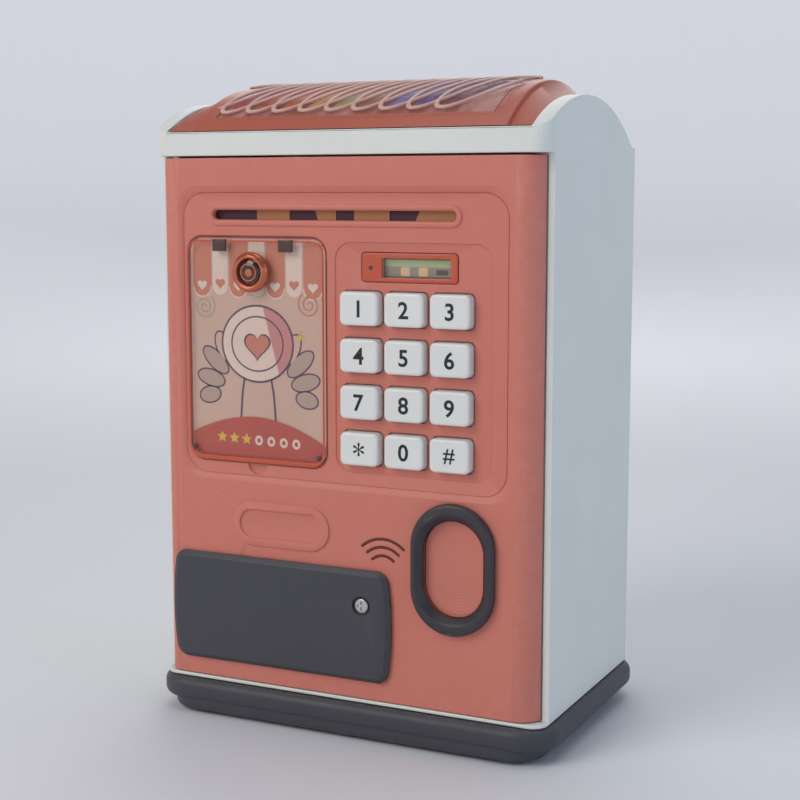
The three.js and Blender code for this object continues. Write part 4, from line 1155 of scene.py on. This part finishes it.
def make_display():
    low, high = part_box("lcd_module")
    x, y, z = [(low[i] / MM, high[i] / MM) for i in range(3)]
    body = block("display_body", x, y, z)
    bevel(body, lambda e: middle_of(e).y < low.y + 0.01 * MM, 0.3, 3)
    show(body, "door", card_ink("display_frame", (0.16, 0.12, 0.09)), "lcd_glass", "lcd_module")
    strips = [
        ("display_sky", (13.1, 34.1), (126.3, 128.3), DISPLAY_GREEN),
        ("display_field", (13.1, 34.1), (123.6, 126.3), DISPLAY_BROWN),
        ("display_spot_left", (18.0, 20.8), (123.7, 126.2), DISPLAY_SPOT),
        ("display_spot_right", (23.6, 26.4), (123.7, 126.2), DISPLAY_SPOT),
        ("display_bar", (29.0, 32.6), (124.2, 125.6), LUG),
    ]
    for layer, (name, across, tall, material) in enumerate(strips):
        front = y[0] - 0.05 - 0.03 * layer
        tile = plate(name, across, (front, front + 0.04), lifted_range(tall), 0.35, 4)
        show(tile, "door", material, "lcd_glass")
    low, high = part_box("lcd_window")
    x, y, z = [(low[i] / MM, high[i] / MM) for i in range(3)]
    pane = plate("display_pane", x, (y[0] + 0.35, y[1]), z, 0.9, 5)
    soften(pane, 0.12, 2)
    show(pane, "door", CLEAR, "clear_plastic", "lcd_window")
    frame_ring = plate("display_surround", x, (y[0] + 0.05, y[0] + 0.33), z, 0.9, 5)
    view = lifted_range((LCD_VIEW[0] - 0.1, LCD_VIEW[1] + 0.1))
    carve(frame_ring, plate("view", (13.0, 34.3), (-60, -30), view, 0.7, 5))
    soften(frame_ring, 0.1, 2)
    # Darker glossy coral: painted shade of the display recess.
    show(frame_ring, "door", CORAL_GLOSS_RECESS_SHADE, "coral_plastic")
    spot = rod("display_sensor", "Y", (9.5, up(126)), 0.7, y[0] - 0.05, y[0] + 0.3, 20)
    bevel(spot, lambda e: middle_of(e).y < y[0] * MM, 0.15, 2)
    show(spot, "door", LUG, "charcoal_plastic")


# ---- striped lens in the roof ----
LENS_INKS = [
    (0.20, 0.04, 0.06), (0.52, 0.04, 0.05), (0.60, 0.07, 0.03), (0.70, 0.17, 0.03), (0.68, 0.36, 0.05),
    (0.34, 0.36, 0.08), (0.42, 0.22, 0.10), (0.07, 0.20, 0.66), (0.03, 0.06, 0.42), (0.08, 0.02, 0.09),
]


LENS_TINTS = [film_ink(f"film_tint_{i}", ink) for i, ink in enumerate(LENS_INKS)]
LOOP_MIDDLE = 17.6  # from the crest to the middle of each row of loops, along the arch
LOOP_HALF_LENGTH, LOOP_HALF_WIDTH, LOOP_PITCH, LOOP_FIRST = 16.5, 6.9, 8.75, -42
LOOP_LEAN = 0.5  # sideways lean of the loops, as a part of their length


def wrap_on_roof(piece, radius):
    """Lays a flat piece, drawn in X and Y with its height in Z, on the roof's arch."""
    for corner in piece.data.vertices:
        reach = radius * MM + corner.co.z
        turn = corner.co.y / (radius * MM)
        corner.co = (corner.co.x, ROOF_Y * MM + reach * math.sin(turn), ROOF_Z * MM + reach * math.cos(turn))
    return piece


def make_lens():
    low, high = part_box("roof_lens")
    half, y0, y1 = high.x / MM, low.y / MM, high.y / MM
    film = rod("lens_film", "X", (ROOF_Y, ROOF_Z), ROOF_RADIUS - 0.1, -44.5, 44.5, 240)
    carve(film, rod("inner", "X", (ROOF_Y, ROOF_Z), ROOF_RADIUS - 0.8, -60, 60, 200))
    keep_inside(film, block("limit", (-44.4, 44.4), (-32.6, 31.6), (160, 220)))
    show(film, "cabinet", FILM, "striped_lens", "roof_lens")
    cover = rod("lens_cover", "X", (ROOF_Y, ROOF_Z), ROOF_RADIUS + 0.85, -half, half, 240)
    carve(cover, rod("inner", "X", (ROOF_Y, ROOF_Z), ROOF_RADIUS + 0.12, -60, 60, 200))
    keep_inside(cover, plate("limit", (-half, half), (y0, y1), (160, 220), 3, 6, "Z"))
    soften(cover, 0.25, 2)
    show(cover, "cabinet", LENS_CLEAR, "striped_lens")
    ridges = []
    for side in (-1, 1):
        for i, ink in enumerate(LENS_INKS):
            x = LOOP_FIRST + LOOP_PITCH * i
            clear_selection()
            bpy.ops.mesh.primitive_torus_add(
                major_radius=20 * MM, minor_radius=0.62 * MM, major_segments=72, minor_segments=10,
            )
            ridge = bpy.context.object
            for v in ridge.data.vertices:
                around = math.atan2(v.co.y, v.co.x)
                out = math.hypot(v.co.x, v.co.y) - 20 * MM
                along = (LOOP_HALF_LENGTH * MM + out) * math.sin(around)
                across = x * MM + (LOOP_HALF_WIDTH * MM + out) * math.cos(around) - side * LOOP_LEAN * along
                v.co = (across, along + side * LOOP_MIDDLE * MM, v.co.z * 0.8)
            for way in (-1, 1):
                choose(ridge, "faces", lambda face: True)
                bpy.ops.mesh.bisect(
                    plane_co=(way * (half - 0.9) * MM, 0, 0), plane_no=(way, 0, 0),
                    use_fill=True, clear_outer=True,
                )
                done()
            ridges.append(wrap_on_roof(ridge, ROOF_RADIUS + 0.85))
            outline = []
            for px, py in ellipse(0, 0, 5, 14.8, 0, 64):
                leant = x + px - side * LOOP_LEAN * py
                outline.append((max(-44, min(44, leant)), side * LOOP_MIDDLE + py))
            made = cut_out(f"lens_tint_{'front' if side < 0 else 'back'}_{i}", [outline], -0.02, 0.02)
            made.data.transform(Matrix.Rotation(-math.pi / 2, 4, "X"))
            choose(made, "faces", lambda face: True)
            bpy.ops.mesh.quads_convert_to_tris()
            bpy.ops.mesh.subdivide(number_cuts=4)
            done()
            wrap_on_roof(made, ROOF_RADIUS - 0.03)
            show(made, "cabinet", LENS_TINTS[i], "striped_lens")
    ridges = join("lens_ridges", *ridges)
    show(ridges, "cabinet", RIDGE, "striped_lens")


def paint_cad():
    finishes = {
        CORAL: ["door_back_cover"],
        TYRE: ["feed_tyre_left", "feed_tyre_middle", "feed_tyre_right"],
        NYLON: ["idler_roller", "feed_gear", "motor_pinion"],
        STEEL: [
            "latch_strike", "hinge_pin_lower", "hinge_pin_upper", "battery_link_plate",
            "battery_spring_right",
            "battery_spring_left", "feed_motor", "feed_shaft", "latch_solenoid",
        ],
        BLACK: ["battery_tray", "roller_frame", "speaker", "latch_bolt"],
        BOARD: ["light_board", "main_board", "finger_switch_board"],
        CELL: ["battery_cell_upper", "battery_cell_lower"],
        SILICONE: ["keypad_membrane"],
    }
    for material, names in finishes.items():
        for name in names:
            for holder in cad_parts[name].material_slots:
                holder.material = material


studio()
make_plinth()
make_case()
make_roof()
make_door_skin()
make_slot_seal()
make_keys()
make_finger_parts()
make_battery_cover()
make_picture()
make_flap()
make_eye()
make_display()
make_lens()
paint_cad()
